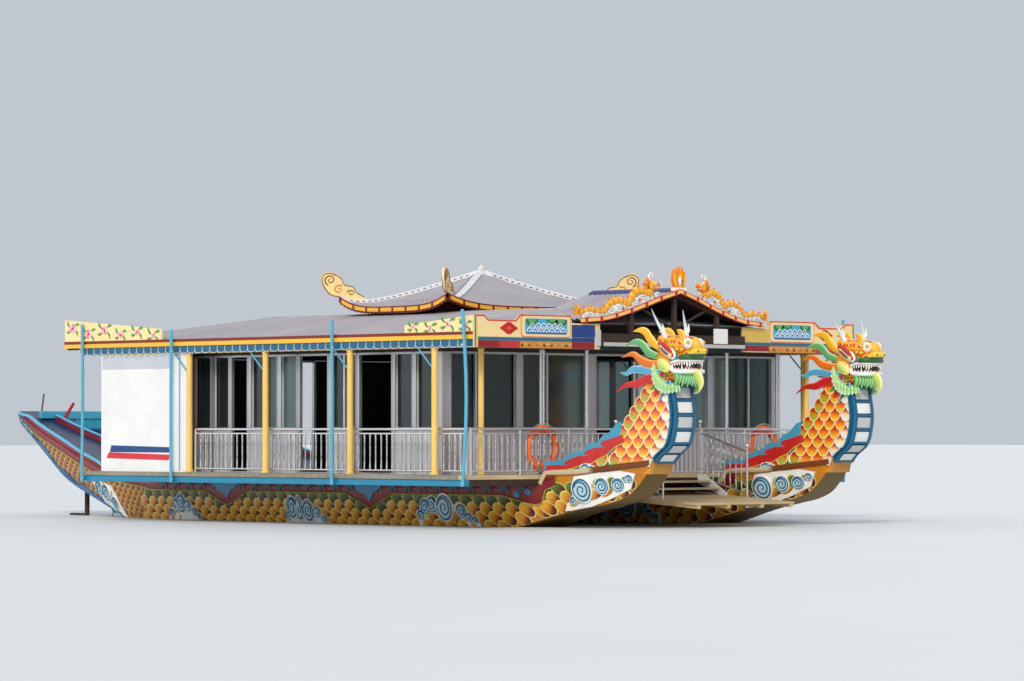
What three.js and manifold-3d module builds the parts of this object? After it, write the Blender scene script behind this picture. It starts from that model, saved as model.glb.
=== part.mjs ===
// Dragon boat: two narrow flat-bottomed hulls with dragon bows and raised sterns under one wide deck,
// which carries a windowed cabin, side galleries and a low roof with a pavilion and a front gable.
// Millimetres, +X forward, +Y to port, +Z up. Inside the boat group x = 0 is the deck's front edge,
// y = 0 the centreline and z = 0 the top of the deck. The exported group stands on the hull bottoms.
import * as THREE from "three";
import { mergeVertices } from "three/addons/utils/BufferGeometryUtils.js";
import Module from "manifold-3d";

const wasm = await Module();
wasm.setup();

// Driving dimensions
const bowReach = 2900; // nose tip of the dragons ahead of the deck
const sternReach = 14000; // stern tips behind the deck's front edge
const hullDepth = 1270; // deck top above the flat hull bottoms
const hullOffset = 2000; // each hull's centreline from the boat's centreline
const fit = 0.3; // clearance between pieces that rest on each other

const deckLength = 9430;
const deckHalf = 4220;
const deckThickness = 70;
const frameHeight = 100; // beams under the deck planks
const frameTop = -deckThickness - fit;
const frameBottom = -deckThickness - frameHeight;
const frameHalf = 4140;

const eaveUnder = 1940; // clear height under the eave beams
const beamTop = 2040;
const roofBack = -10000;
const roofFront = 260;
const roofHalf = 4180;
const eaveTop = 2180;
const sheetThickness = 40;
const fasciaHalf = 4240;

const cabinFront = -950;
const cabinBack = -9060;
const cabinHalf = 3770;
const wallThickness = 60;

const railTop = 720;
const railThickness = 30;
const ballRadius = 35;

const shaftHeight = -950;
const shaftRadius = 20;
const stockRadius = 45;
const stockX = -12300;
const boreClearance = 0.8;
const roundSides = 24;

// Materials
const paint = (color, roughness = 0.55, metalness = 0) =>
  new THREE.MeshStandardMaterial({ color, roughness, metalness });
const materials = {
  hullGold: paint(0xd09a28),
  headGold: paint(0xe0a030, 0.45),
  beamBlue: paint(0x1f8fb8),
  weatheredWood: paint(0x8d8578, 0.85),
  lightWood: paint(0xc8b58c, 0.8),
  darkWood: paint(0x4a3322, 0.8),
  columnYellow: paint(0xf2d886, 0.5),
  panelWhite: paint(0xe6e4df, 0.5),
  steel: paint(0xc4c6c8, 0.25, 0.9),
  glass: paint(0x9fb4b8, 0.1),
  roofSheet: paint(0xc6c2c8, 0.6),
  trimRed: paint(0x7c1a14, 0.5),
  trimOrange: paint(0xe8a43c, 0.5),
  boardCream: paint(0xf4e2a8, 0.5),
  ringOrange: paint(0xf07428, 0.55),
  tableRed: paint(0xa01c20, 0.4),
  bronze: paint(0x9a7440, 0.35, 0.9),
};

// Solids: joining and cutting
function solidOf(geometry) {
  const bare = new THREE.BufferGeometry();
  const flat = geometry.index ? geometry.toNonIndexed() : geometry;
  bare.setAttribute("position", flat.getAttribute("position").clone());
  const merged = mergeVertices(bare, 1e-3);
  return new wasm.Manifold(
    new wasm.Mesh({
      numProp: 3,
      vertProperties: merged.attributes.position.array,
      triVerts: new Uint32Array(merged.index.array),
    }),
  );
}

function geometryOf(solid) {
  const mesh = solid.getMesh();
  const geometry = new THREE.BufferGeometry();
  const vertices = new Float32Array(mesh.vertProperties);
  geometry.setAttribute("position", new THREE.BufferAttribute(vertices, 3));
  geometry.setIndex(new THREE.BufferAttribute(new Uint32Array(mesh.triVerts), 1));
  geometry.computeVertexNormals();
  return geometry;
}

function join(...pieces) {
  return geometryOf(pieces.map(solidOf).reduce((sum, piece) => sum.add(piece)));
}

function cut(base, ...tools) {
  return geometryOf(tools.map(solidOf).reduce((rest, tool) => rest.subtract(tool), solidOf(base)));
}

// Shapes: boxes, prisms along each axis, rods, lofts and sheets
function box(x0, x1, y0, y1, z0, z1) {
  const block = new THREE.BoxGeometry(x1 - x0, y1 - y0, z1 - z0);
  return block.translate((x0 + x1) / 2, (y0 + y1) / 2, (z0 + z1) / 2);
}

function outlinePrism(points, depth) {
  const shape = new THREE.Shape(points.map(([a, b]) => new THREE.Vector2(a, b)));
  return new THREE.ExtrudeGeometry(shape, { depth, bevelEnabled: false });
}

function extrude(points, depth, holes = []) {
  const plate = outlinePrism(points, depth);
  if (!holes.length) return plate;
  return cut(plate, ...holes.map((hole) => outlinePrism(hole, depth + 2).translate(0, 0, -1)));
}

// Outline in x and z, running from y0 to y1.
function sidePrism(points, y0, y1, holes) {
  return extrude(points, y1 - y0, holes).rotateX(Math.PI / 2).translate(0, y1, 0);
}

// Outline in y and z, running from x0 to x1.
function crossPrism(points, x0, x1, holes) {
  const turn = new THREE.Matrix4().makeBasis(
    new THREE.Vector3(0, 1, 0),
    new THREE.Vector3(0, 0, 1),
    new THREE.Vector3(1, 0, 0),
  );
  return extrude(points, x1 - x0, holes).applyMatrix4(turn).translate(x0, 0, 0);
}

// Outline in x and y, running from z0 to z1.
function flatPrism(points, z0, z1, holes) {
  return extrude(points, z1 - z0, holes).translate(0, 0, z0);
}

function rectangle(a0, a1, b0, b1) {
  return [
    [a0, b0],
    [a1, b0],
    [a1, b1],
    [a0, b1],
  ];
}

function rod(from, to, radius, endRadius = radius, sides = 12) {
  const start = new THREE.Vector3(...from);
  const along = new THREE.Vector3(...to).sub(start);
  const length = along.length();
  const turn = new THREE.Quaternion().setFromUnitVectors(
    new THREE.Vector3(0, 1, 0),
    along.normalize(),
  );
  return new THREE.CylinderGeometry(endRadius, radius, length, sides)
    .translate(0, length / 2, 0)
    .applyQuaternion(turn)
    .translate(...from);
}

function ball(x, y, z, radius) {
  return new THREE.IcosahedronGeometry(radius, 1).translate(x, y, z);
}

// Loops of the same number of points, each seen anticlockwise from where the loft goes.
function loft(loops) {
  const count = loops[0].length;
  const positions = loops.flat(2);
  const index = [];
  for (let i = 0; i + 1 < loops.length; i += 1) {
    for (let j = 0; j < count; j += 1) {
      const a = i * count + j;
      const b = i * count + ((j + 1) % count);
      index.push(a, b, a + count, b, b + count, a + count);
    }
  }
  const last = (loops.length - 1) * count;
  for (const [p, q, r] of capOf(loops[0])) index.push(r, q, p);
  for (const [p, q, r] of capOf(loops[loops.length - 1])) index.push(last + p, last + q, last + r);
  const geometry = new THREE.BufferGeometry();
  geometry.setAttribute("position", new THREE.Float32BufferAttribute(positions, 3));
  geometry.setIndex(index);
  return geometry;
}

// Triangles that close a loop, flattened along the axis in which it is thinnest.
function capOf(loop) {
  const spans = [0, 1, 2].map((k) => {
    const values = loop.map((point) => point[k]);
    return Math.max(...values) - Math.min(...values);
  });
  const thin = spans.indexOf(Math.min(...spans));
  const [a, b] = [[1, 2], [2, 0], [0, 1]][thin];
  const flat = loop.map((point) => new THREE.Vector2(point[a], point[b]));
  return THREE.ShapeUtils.triangulateShape(flat, []);
}

// A sheet over a square grid in u and v from -1 to 1, creased along the diagonals.
function gridSheet(steps, pointAt, thickness) {
  const side = steps + 1;
  const layer = side * side;
  const top = [];
  for (let i = 0; i < side; i += 1) {
    for (let j = 0; j < side; j += 1) {
      top.push(pointAt((2 * i) / steps - 1, (2 * j) / steps - 1));
    }
  }
  const positions = [...top, ...top.map(([x, y, z]) => [x, y, z - thickness])].flat();
  const index = [];
  const quad = (a, b, c, d) => index.push(a, b, c, a, c, d);
  for (let i = 0; i < steps; i += 1) {
    for (let j = 0; j < steps; j += 1) {
      const corner = [i * side + j, (i + 1) * side + j, (i + 1) * side + j + 1, i * side + j + 1];
      const rising = (i < steps / 2) === (j < steps / 2);
      const order = rising ? corner : [...corner.slice(1), corner[0]];
      quad(...order);
      quad(...order.map((k) => k + layer).reverse());
    }
  }
  for (let i = 0; i < steps; i += 1) {
    const edges = [
      [i * side, (i + 1) * side],
      [(i + 1) * side + steps, i * side + steps],
      [i + 1, i],
      [steps * side + i, steps * side + i + 1],
    ];
    for (const [from, to] of edges) quad(from, from + layer, to + layer, to);
  }
  const geometry = new THREE.BufferGeometry();
  geometry.setAttribute("position", new THREE.Float32BufferAttribute(positions, 3));
  geometry.setIndex(index);
  return geometry;
}

function valueAt(rows, column, x) {
  const next = rows.findIndex((row) => row.x >= x);
  if (next <= 0) return rows[Math.max(next, 0)][column];
  const [low, high] = [rows[next - 1], rows[next]];
  return low[column] + ((x - low.x) / (high.x - low.x)) * (high[column] - low[column]);
}

// Scene graph: side groups measure y outboard, so starboard mirrors port.
const boat = new THREE.Group();
boat.position.set((sternReach - bowReach) / 2, 0, hullDepth);
const port = new THREE.Group();
const starboard = new THREE.Group();
starboard.scale.y = -1;
boat.add(port, starboard);

function place(parent, name, geometry, material) {
  const mesh = new THREE.Mesh(geometry, material.clone());
  mesh.name = name;
  parent.add(mesh);
  return mesh;
}

function placeBothSides(name, geometry, material) {
  place(starboard, name + "_starboard", geometry, material);
  place(port, name + "_port", geometry, material);
}

// Hulls: bottom height, half-width of the bottom, sheer height and half-width of the sheer
const hullSections = [
  [-sternReach, 840, 180, 1030, 240],
  [-13300, 405, 250, 730, 350],
  [-12300, -210, 340, 410, 500],
  [-11600, -450, 400, 185, 600],
  [-10800, -720, 460, -20, 690],
  [-9900, -1020, 520, -140, 750],
  [-9430, -1140, 540, frameBottom - fit, 780],
  [-8800, -hullDepth, 560, frameBottom - fit, 800],
  [-2500, -hullDepth, 560, frameBottom - fit, 850],
  [-600, -820, 480, frameBottom - fit, 700],
  [5, -668, 410, frameBottom - fit, 600],
  [60, -655, 400, 0, 590],
  [700, -515, 330, 30, 480],
  [1270, -420, 285, 90, 380],
  [1620, -300, 260, 130, 310],
  [1880, -75, 240, 155, 265],
  [2060, 140, 230, 180, 235],
].map(([x, bottom, bottomHalf, sheer, sheerHalf]) => ({ x, bottom, bottomHalf, sheer, sheerHalf }));
const turnHeight = 0.45; // where the side turns, as a share of its height
const turnWidth = 0.62; // and of its flare

const shaftStart = -9950;
const boreEnd = -10600; // aft of where the shaft leaves the hull
const bracketX = -11200;
const bracketHalf = 80;
const propellerX = -11560;

function hullLoop({ x, bottom, bottomHalf, sheer, sheerHalf }) {
  const turnZ = bottom + turnHeight * (sheer - bottom);
  const turnY = bottomHalf + turnWidth * (sheerHalf - bottomHalf);
  return [
    [x, hullOffset - bottomHalf, bottom],
    [x, hullOffset + bottomHalf, bottom],
    [x, hullOffset + turnY, turnZ],
    [x, hullOffset + sheerHalf, sheer],
    [x, hullOffset - sheerHalf, sheer],
    [x, hullOffset - turnY, turnZ],
  ];
}

const stockSeat = valueAt(hullSections, "bottom", stockX);
const stockTop = stockSeat + 140;
const rudderBore = rod(
  [stockX, hullOffset, stockSeat - 200],
  [stockX, hullOffset, stockTop + 20],
  stockRadius + boreClearance,
  stockRadius + boreClearance,
  roundSides,
);
const shaftBore = rod(
  [boreEnd, hullOffset, shaftHeight],
  [shaftStart + 20, hullOffset, shaftHeight],
  shaftRadius + boreClearance,
  shaftRadius + boreClearance,
  roundSides,
);
const hull = cut(loft(hullSections.map(hullLoop)), rudderBore, shaftBore);
placeBothSides("hull", hull, materials.hullGold);

// Dragon necks: height, back edge, front edge, half-width at the back and at the front
const neckFoot = { back: 1270, front: 2060, backHalf: 350, frontHalf: 232 };
const neckRings = [
  [310, 1285, 2210, 325, 230],
  [460, 1310, 2420, 300, 230],
  [700, 1390, 2505, 262, 230],
  [900, 1560, 2530, 236, 230],
  [1140, 1780, 2500, 230, 230],
  [1300, 1830, 2470, 224, 224],
  [1400, 1840, 2450, 220, 220],
];
const neckTop = 1400;

function neckLoop(z, back, front, backHalf, frontHalf) {
  return [
    [back, hullOffset - backHalf, z],
    [front, hullOffset - frontHalf, z],
    [front, hullOffset + frontHalf, z],
    [back, hullOffset + backHalf, z],
  ];
}

const onSheer = (x) => valueAt(hullSections, "sheer", x) + fit;
const neckColumn = loft([
  neckLoop(
    onSheer(neckFoot.front),
    neckFoot.back,
    neckFoot.front,
    neckFoot.backHalf,
    neckFoot.frontHalf,
  ),
  ...neckRings.map((ring) => neckLoop(...ring)),
]);
// Bulwark between deck and neck: x, half-width at the foot, top height and half-width at the top
const bulwarkSections = [
  [70, 575, 200, 560],
  [700, 462, 440, 430],
  [1270, 366, 655, 300],
  [1400, 330, 700, 255],
  [1620, 296, 700, 240],
  [1880, 250, 600, 230],
  [2060, 228, 300, 228],
];
const bulwark = loft(
  bulwarkSections.map(([x, footHalf, top, topHalf]) => [
    [x, hullOffset - footHalf, onSheer(x)],
    [x, hullOffset + footHalf, onSheer(x)],
    [x, hullOffset + topHalf, top],
    [x, hullOffset - topHalf, top],
  ]),
);
placeBothSides("neck", join(neckColumn, bulwark), materials.hullGold);

// Dragon heads: profile of skull with jaws, horns, mane flames and beard
const headBack = 1940;
const skullHalf = 255;
const snoutNarrowing = 0.26;
const skullOutline = [
  [1960, neckTop + fit],
  [2450, neckTop + fit],
  [2540, 1420],
  [2640, 1450],
  [2800, 1500],
  [2850, 1560],
  [2810, 1600],
  [2560, 1600],
  [2400, 1650],
  [2560, 1730],
  [2800, 1745],
  [2880, 1790],
  [bowReach, 1880],
  [2860, 1960],
  [2700, 1985],
  [2600, 2080],
  [2480, 2190],
  [2300, 2210],
  [2100, 2130],
  [1980, 1950],
  [headBack, 1700],
];
const beardOutline = [
  [2560, 1440],
  [2840, 1540],
  [2830, 1270],
  [2740, 1335],
  [2640, 1340],
];
const beardHalf = 120;
// Flames of the mane: root x and z, tip x and z, width at the root
const maneFlames = [
  [2150, 1990, 1690, 2180, 130],
  [2110, 1860, 1520, 1990, 130],
  [2130, 1710, 1430, 1810, 130],
  [2110, 1580, 1390, 1540, 120],
  [2150, 1460, 1310, 1285, 130],
];
const maneInner = 232;
const maneThickness = 50;
const horn = { foot: [2330, 190, 2090], tip: [2140, 335, 2510], footRadius: 48, tipRadius: 12 };

function narrowed(geometry) {
  const position = geometry.getAttribute("position");
  for (let i = 0; i < position.count; i += 1) {
    const share = (position.getX(i) - headBack) / (bowReach - headBack);
    position.setY(i, position.getY(i) * (1 - snoutNarrowing * Math.max(share, 0)));
  }
  return geometry;
}

function flameOutline([rootX, rootZ, tipX, tipZ, width]) {
  const along = new THREE.Vector2(tipX - rootX, tipZ - rootZ);
  const across = new THREE.Vector2(-along.y, along.x).normalize();
  const stations = [
    [0, 0.5],
    [0.35, 0.45],
    [0.7, 0.1],
    [1, -0.1],
    [0.65, -0.45],
    [0.3, -0.35],
    [0, -0.5],
  ];
  return stations.map(([share, side]) => [
    rootX + share * along.x + side * width * across.x,
    rootZ + share * along.y + side * width * across.y,
  ]);
}

const headPieces = [narrowed(sidePrism(skullOutline, -skullHalf, skullHalf))];
headPieces.push(sidePrism(beardOutline, -beardHalf, beardHalf));
for (const side of [-1, 1]) {
  const [footX, footY, footZ] = horn.foot;
  const [tipX, tipY, tipZ] = horn.tip;
  headPieces.push(
    rod([footX, side * footY, footZ], [tipX, side * tipY, tipZ], horn.footRadius, horn.tipRadius, 8),
  );
  const low = side < 0 ? -maneInner - maneThickness : maneInner;
  for (const flame of maneFlames) {
    headPieces.push(sidePrism(flameOutline(flame), low, low + maneThickness));
  }
}
const head = join(...headPieces).translate(0, hullOffset, 0);
placeBothSides("head", head, materials.headGold);

// Deck and the beams under it
const longitudinals = [-4100, -2400, -800, 800, 2400, 4100];
const crossBeams = 7;
const beamHalf = 40;
const beamPitch = (deckLength - 2 * beamHalf) / (crossBeams - 1);
const frameCells = [];
for (let i = 0; i + 1 < longitudinals.length; i += 1) {
  for (let j = 0; j + 1 < crossBeams; j += 1) {
    const x0 = -deckLength + 2 * beamHalf + j * beamPitch;
    const x1 = x0 + beamPitch - 2 * beamHalf;
    frameCells.push(
      rectangle(x0, x1, longitudinals[i] + beamHalf, longitudinals[i + 1] - beamHalf),
    );
  }
}
const frameOutline = rectangle(-deckLength, 0, -frameHalf, frameHalf);
place(boat, "deck_frame", flatPrism(frameOutline, frameBottom, frameTop, frameCells), materials.darkWood);
place(
  boat,
  "deck",
  box(-deckLength, 0, -deckHalf, deckHalf, -deckThickness, 0),
  materials.weatheredWood,
);

// Side beams with the tall poles: x of each pole and its top
const poles = [
  [46, 2504],
  [-2994, 2400],
  [-7044, 2330],
  [-9460, 2456],
];
const poleRadius = 25;
const poleY = 4260;
const sideBeamOuter = 4200;
const lugHalf = 30;
const sideBeam = [
  box(-deckLength, 76, frameHalf + fit, sideBeamOuter, frameBottom, frameTop),
  ...poles.flatMap(([x, top]) => [
    rod([x, poleY, frameBottom], [x, poleY, top], poleRadius, poleRadius, 8),
    box(x - lugHalf, x + lugHalf, sideBeamOuter - 20, poleY, frameBottom + 15, frameTop - 15),
  ]),
];
placeBothSides("side_beam", join(...sideBeam), materials.beamBlue);

// Boarding platform between the bows and the steps down to it
const platform = { back: -300, front: 1900, backTop: -290, frontTop: -437, thickness: 50, half: 1100 };
const platformTop = (x) =>
  platform.backTop +
  ((x - platform.back) / (platform.front - platform.back)) * (platform.frontTop - platform.backTop);
const platformSlab = sidePrism(
  [
    [platform.back, platform.backTop],
    [platform.front, platform.frontTop],
    [platform.front, platform.frontTop - platform.thickness],
    [platform.back, platform.backTop - platform.thickness],
  ],
  -platform.half,
  platform.half,
);
const hangers = [];
for (const y of [-800, 800]) {
  for (const x of [-280, -60]) {
    hangers.push(box(x, x + 60, y - beamHalf, y + beamHalf, -330, frameBottom - fit));
  }
}
place(boat, "boarding_platform", join(platformSlab, ...hangers), materials.lightWood);

const stair = { half: 910, stringer: 40, front: 620, treadThickness: 30 };
const stringerOutline = [
  [fit, -20],
  [130, -20],
  [stair.front, platformTop(stair.front) + 40],
  [stair.front, platformTop(stair.front) + fit],
  [stair.front - 130, platformTop(stair.front - 130) + fit],
  [fit, -160],
];
const treads = [
  [fit, 300, -115],
  [190, 480, -225],
];
const stairPieces = [-stair.half, stair.half - stair.stringer].map((y) =>
  sidePrism(stringerOutline, y, y + stair.stringer),
);
for (const [x0, x1, top] of treads) {
  stairPieces.push(box(x0, x1, -stair.half + 10, stair.half - 10, top - stair.treadThickness, top));
}
place(boat, "boarding_stairs", join(...stairPieces), materials.lightWood);

// Railings: flat frames of rails and posts with ball tops
const balusterPitch = 130;
const balusterWidth = 16;
const rails = { footTop: 80, middleBottom: 620, middleTop: 645, topBottom: 685 };

// Starts and ends of the gaps that evenly spaced balusters leave between low and high.
function balusterGaps(low, high) {
  const count = Math.round((high - low) / balusterPitch);
  const pitch = (high - low + balusterWidth) / count;
  return Array.from({ length: count }, (_, i) => {
    const start = low + i * pitch;
    return [start, start + pitch - balusterWidth];
  });
}

function railingHoles(start, end, posts) {
  const stops = [start, ...posts, end];
  const holes = [];
  for (let i = 0; i + 1 < stops.length; i += 1) {
    const low = stops[i] + railThickness / 2 + (i === 0 ? railThickness / 2 : 0);
    const high = stops[i + 1] - railThickness / 2 - (i + 2 === stops.length ? railThickness / 2 : 0);
    for (const [from, to] of balusterGaps(low, high)) {
      holes.push(rectangle(from, to, rails.footTop, rails.middleBottom));
    }
    holes.push(rectangle(low, high, rails.middleTop, rails.topBottom));
  }
  return holes;
}

const columnXs = [-724, -2703, -4776, -6726];
const columnY = 4130;
const columnRadius = 50;
const sideRail = { start: -6670, end: -60, inner: 4045 };
const sideRailing = sidePrism(
  rectangle(sideRail.start, sideRail.end, fit, railTop),
  sideRail.inner,
  sideRail.inner + railThickness,
  railingHoles(sideRail.start, sideRail.end, [columnXs[2], columnXs[1], columnXs[0]]),
);
placeBothSides("side_railing", sideRailing, materials.steel);

const frontRail = { start: 930, end: 4040, back: -35 };
const frontRailing = join(
  crossPrism(
    rectangle(frontRail.start, frontRail.end, fit, railTop),
    frontRail.back,
    frontRail.back + railThickness,
    railingHoles(frontRail.start, frontRail.end, [1970, 3000]),
  ),
  rod([-20, 945, railTop - 20], [-20, 945, 800], 14),
  ball(-20, 945, 820, ballRadius),
);
placeBothSides("front_railing", frontRailing, materials.steel);

// Stair rails: slope from the deck's edge down to a ball-topped newel on the platform
const stairRail = { start: fit, end: 1035, inner: 930, topStart: 650, topEnd: 350 };
const stairSlope = (x) =>
  stairRail.topStart + ((stairRail.topEnd - stairRail.topStart) * (x - 15)) / (stairRail.end - 15);
const lowerStart = -40;
const lowerDrop = 0.26;
const lowerRail = (x) => lowerStart - lowerDrop * x;
const stairRailOutline = [
  [stairRail.start, -160],
  [30, -160],
  [30, lowerRail(30) - 30],
  [1005, lowerRail(1005) - 30],
  [1005, platformTop(1005) + fit],
  [stairRail.end, platformTop(stairRail.end) + fit],
  [stairRail.end, 420],
  [1005, 420],
  [1005, stairSlope(1005)],
  [30, stairSlope(30)],
  [30, 700],
  [stairRail.start, 700],
];
const stairRailHoles = balusterGaps(30, 1005).map(([from, to]) => [
  [from, lowerRail(from)],
  [to, lowerRail(to)],
  [to, stairSlope(to) - railThickness],
  [from, stairSlope(from) - railThickness],
]);
const stairRailing = join(
  sidePrism(stairRailOutline, stairRail.inner, stairRail.inner + 25, stairRailHoles),
  ball(1020, stairRail.inner + 12.5, 440, ballRadius),
);
placeBothSides("stair_rail", stairRailing, materials.steel);

// Side colonnades: round columns under an eave beam
const eaveBeam = box(-deckLength, 250, 4100, 4170, eaveUnder, beamTop);
const sideColumns = columnXs.map((x) =>
  rod([x, columnY, fit], [x, columnY, eaveUnder + 20], columnRadius, columnRadius, 12),
);
placeBothSides("side_colonnade", join(eaveBeam, ...sideColumns), materials.columnYellow);

// Front colonnade: y and radius of each column, all under one header
const frontColumnX = -210;
const frontColumns = [
  [-3640, 45],
  [-2360, 50],
  [-1400, 32],
  [1750, 32],
  [2960, 50],
  [3640, 45],
];
const header = box(frontColumnX - 50, frontColumnX + 50, -4100 + fit, 4100 - fit, eaveUnder, beamTop);
const frontColumnRods = frontColumns.map(([y, radius]) =>
  rod([frontColumnX, y, fit], [frontColumnX, y, eaveUnder + 20], radius, radius, 12),
);
place(boat, "front_colonnade", join(header, ...frontColumnRods), materials.columnYellow);

// Blank side boards beside the stern room
const sideBoard = box(-9070, -6790, 4110, 4150, fit, eaveUnder - fit);
placeBothSides("side_board", sideBoard, materials.panelWhite);

// Cabin walls with windows and doorways cut through
const window = { sill: 720, head: 1900 };
const doorSill = 20;
// Side wall openings from aft forward: start, end and foot. A foot at the door sill makes a doorway.
const sideOpenings = [
  [-7060, -6620, window.sill],
  [-6550, -6150, window.sill],
  [-6090, -5670, doorSill],
  [-5590, -4910, window.sill],
  [-4830, -4430, window.sill],
  [-4360, -3660, doorSill],
  [-3590, -2970, window.sill],
  [-2910, -2120, doorSill],
  [-2060, -1640, window.sill],
  [-1570, -1070, window.sill],
];
const sideWall = sidePrism(
  rectangle(cabinBack + wallThickness + fit, cabinFront - wallThickness - fit, fit, beamTop),
  cabinHalf - wallThickness,
  cabinHalf,
  sideOpenings.map(([x0, x1, foot]) => rectangle(x0, x1, foot, window.head)),
);
placeBothSides("cabin_wall", sideWall, materials.panelWhite);

const doorHalf = 480;
const doorHead = 1900;
const endWallOutline = [
  [-cabinHalf, fit],
  [-doorHalf, fit],
  [-doorHalf, doorHead],
  [doorHalf, doorHead],
  [doorHalf, fit],
  [cabinHalf, fit],
  [cabinHalf, beamTop],
  [-cabinHalf, beamTop],
];
const frontWindows = [
  [-3600, -2200],
  [-2080, -680],
  [680, 2080],
  [2200, 3600],
].map(([y0, y1]) => rectangle(y0, y1, window.sill, window.head));
const frontWall = crossPrism(
  endWallOutline,
  cabinFront - wallThickness,
  cabinFront,
  frontWindows,
);
place(boat, "cabin_wall_front", frontWall, materials.panelWhite);
const aftWall = crossPrism(endWallOutline, cabinBack, cabinBack + wallThickness);
place(boat, "cabin_wall_aft", aftWall, materials.panelWhite);

// Window glass against the inside of the walls
const glassThickness = 6;
const glassLap = 40;
const glassFoot = window.sill - glassLap;
const glassStart = sideOpenings[0][0] - glassLap;
const glassEnd = sideOpenings[sideOpenings.length - 1][1] + glassLap;
const sideDoors = sideOpenings.filter(([, , foot]) => foot === doorSill);
const sideGlass = sidePrism(
  [
    [glassStart, glassFoot],
    ...sideDoors.flatMap(([x0, x1]) => [
      [x0, glassFoot],
      [x0, window.head],
      [x1, window.head],
      [x1, glassFoot],
    ]),
    [glassEnd, glassFoot],
    [glassEnd, window.head + glassLap],
    [glassStart, window.head + glassLap],
  ],
  cabinHalf - wallThickness - fit - glassThickness,
  cabinHalf - wallThickness - fit,
);
placeBothSides("cabin_glass", sideGlass, materials.glass);
const frontGlass = box(
  cabinFront - wallThickness - fit - glassThickness,
  cabinFront - wallThickness - fit,
  680 - glassLap,
  3600 + glassLap,
  glassFoot,
  window.head + glassLap,
);
placeBothSides("front_glass", frontGlass, materials.glass);

// Table on the centreline with a bench along each side
const bench = { start: -4900, end: -3100, inner: 620, outer: 980, top: 440, board: 40 };
const benchPieces = [
  box(bench.start, bench.end, bench.inner, bench.outer, bench.top - bench.board, bench.top),
];
for (let i = 0; i < 4; i += 1) {
  const x = bench.start + 40 + (i * (bench.end - bench.start - 120)) / 3;
  benchPieces.push(box(x, x + 40, bench.inner + 30, bench.outer - 10, fit, bench.top - 20));
}
placeBothSides("bench", join(...benchPieces), materials.darkWood);
const table = join(
  box(-4900, -3100, -450, 450, 720, 760),
  box(-4700, -4640, -330, 330, fit, 740),
  box(-3360, -3300, -330, 330, fit, 740),
);
place(boat, "table", table, materials.tableRed);

// Main roof: ridge height along x, and the share of the rise at each half-width
const ridgeLine = [
  [roofBack, 2460],
  [-7600, 2640],
  [-1500, 2640],
  [roofFront, 2370],
].map(([x, ridge]) => ({ x, ridge }));
const riseShares = [
  [roofHalf, 0],
  [3000, 0.5],
  [1600, 0.93],
  [0, 1],
];

function roofProfile(x, lift) {
  const rise = valueAt(ridgeLine, "ridge", x) - eaveTop;
  const half = riseShares.map(([y, share]) => [y, eaveTop + share * rise + lift]);
  return [...half, ...half.slice(0, -1).reverse().map(([y, z]) => [-y, z])];
}

function roofSolid(lift, floor) {
  return loft(
    ridgeLine.map(({ x }) => {
      const top = roofProfile(x, lift);
      return [...top, ...top.map(([y, z]) => [y, floor(z)]).reverse()].map(([y, z]) => [x, y, z]);
    }),
  );
}

const roofShell = roofSolid(0, (z) => z - sheetThickness);
const joistTop = 2150;
const joists = [-9300, -6726, -4776, -2703, -724].map((x) =>
  box(x - 35, x + 35, -4165, 4165, beamTop + fit, joistTop),
);
const edgePlates = [-4165, 4100].map((y) =>
  box(roofBack, roofFront, y, y + 65, beamTop + fit, joistTop),
);
const pavilion = { x: -4170, halfX: 1325, halfY: 1950, eave: 2700, lift: 190, apex: 3330, thickness: 50 };
const drum = { halfX: 950, halfY: 1450, bottom: 2380, top: 2660, seatTop: 2795 };
const drumBlock = box(
  pavilion.x - drum.halfX,
  pavilion.x + drum.halfX,
  -drum.halfY,
  drum.halfY,
  drum.bottom,
  drum.top,
);
place(boat, "main_roof", join(roofShell, ...joists, ...edgePlates, drumBlock), materials.roofSheet);

// Pavilion roof: four concave slopes with raised corners and a finial
function pavilionPoint(u, v) {
  const reach = Math.max(Math.abs(u), Math.abs(v));
  const rise = (pavilion.apex - pavilion.eave) * Math.pow(1 - reach, 1.25);
  const corner = pavilion.lift * Math.pow(Math.abs(u * v), 4);
  return [pavilion.x + u * pavilion.halfX, v * pavilion.halfY, pavilion.eave + rise + corner];
}
const pavilionSheet = gridSheet(8, pavilionPoint, pavilion.thickness);
const seatWall = 100;
const pavilionSeat = flatPrism(
  rectangle(-drum.halfX, drum.halfX, -drum.halfY, drum.halfY),
  drum.top + fit,
  drum.seatTop,
  [
    rectangle(
      seatWall - drum.halfX,
      drum.halfX - seatWall,
      seatWall - drum.halfY,
      drum.halfY - seatWall,
    ),
  ],
).translate(pavilion.x, 0, 0);
const finial = new THREE.LatheGeometry(
  [
    [0, -60],
    [70, -60],
    [45, 10],
    [55, 45],
    [20, 80],
    [0, 110],
  ].map(([r, z]) => new THREE.Vector2(r, z)),
  10,
)
  .rotateX(Math.PI / 2)
  .translate(pavilion.x, 0, pavilion.apex);
place(boat, "pavilion_roof", join(pavilionSheet, pavilionSeat, finial), materials.roofSheet);

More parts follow.
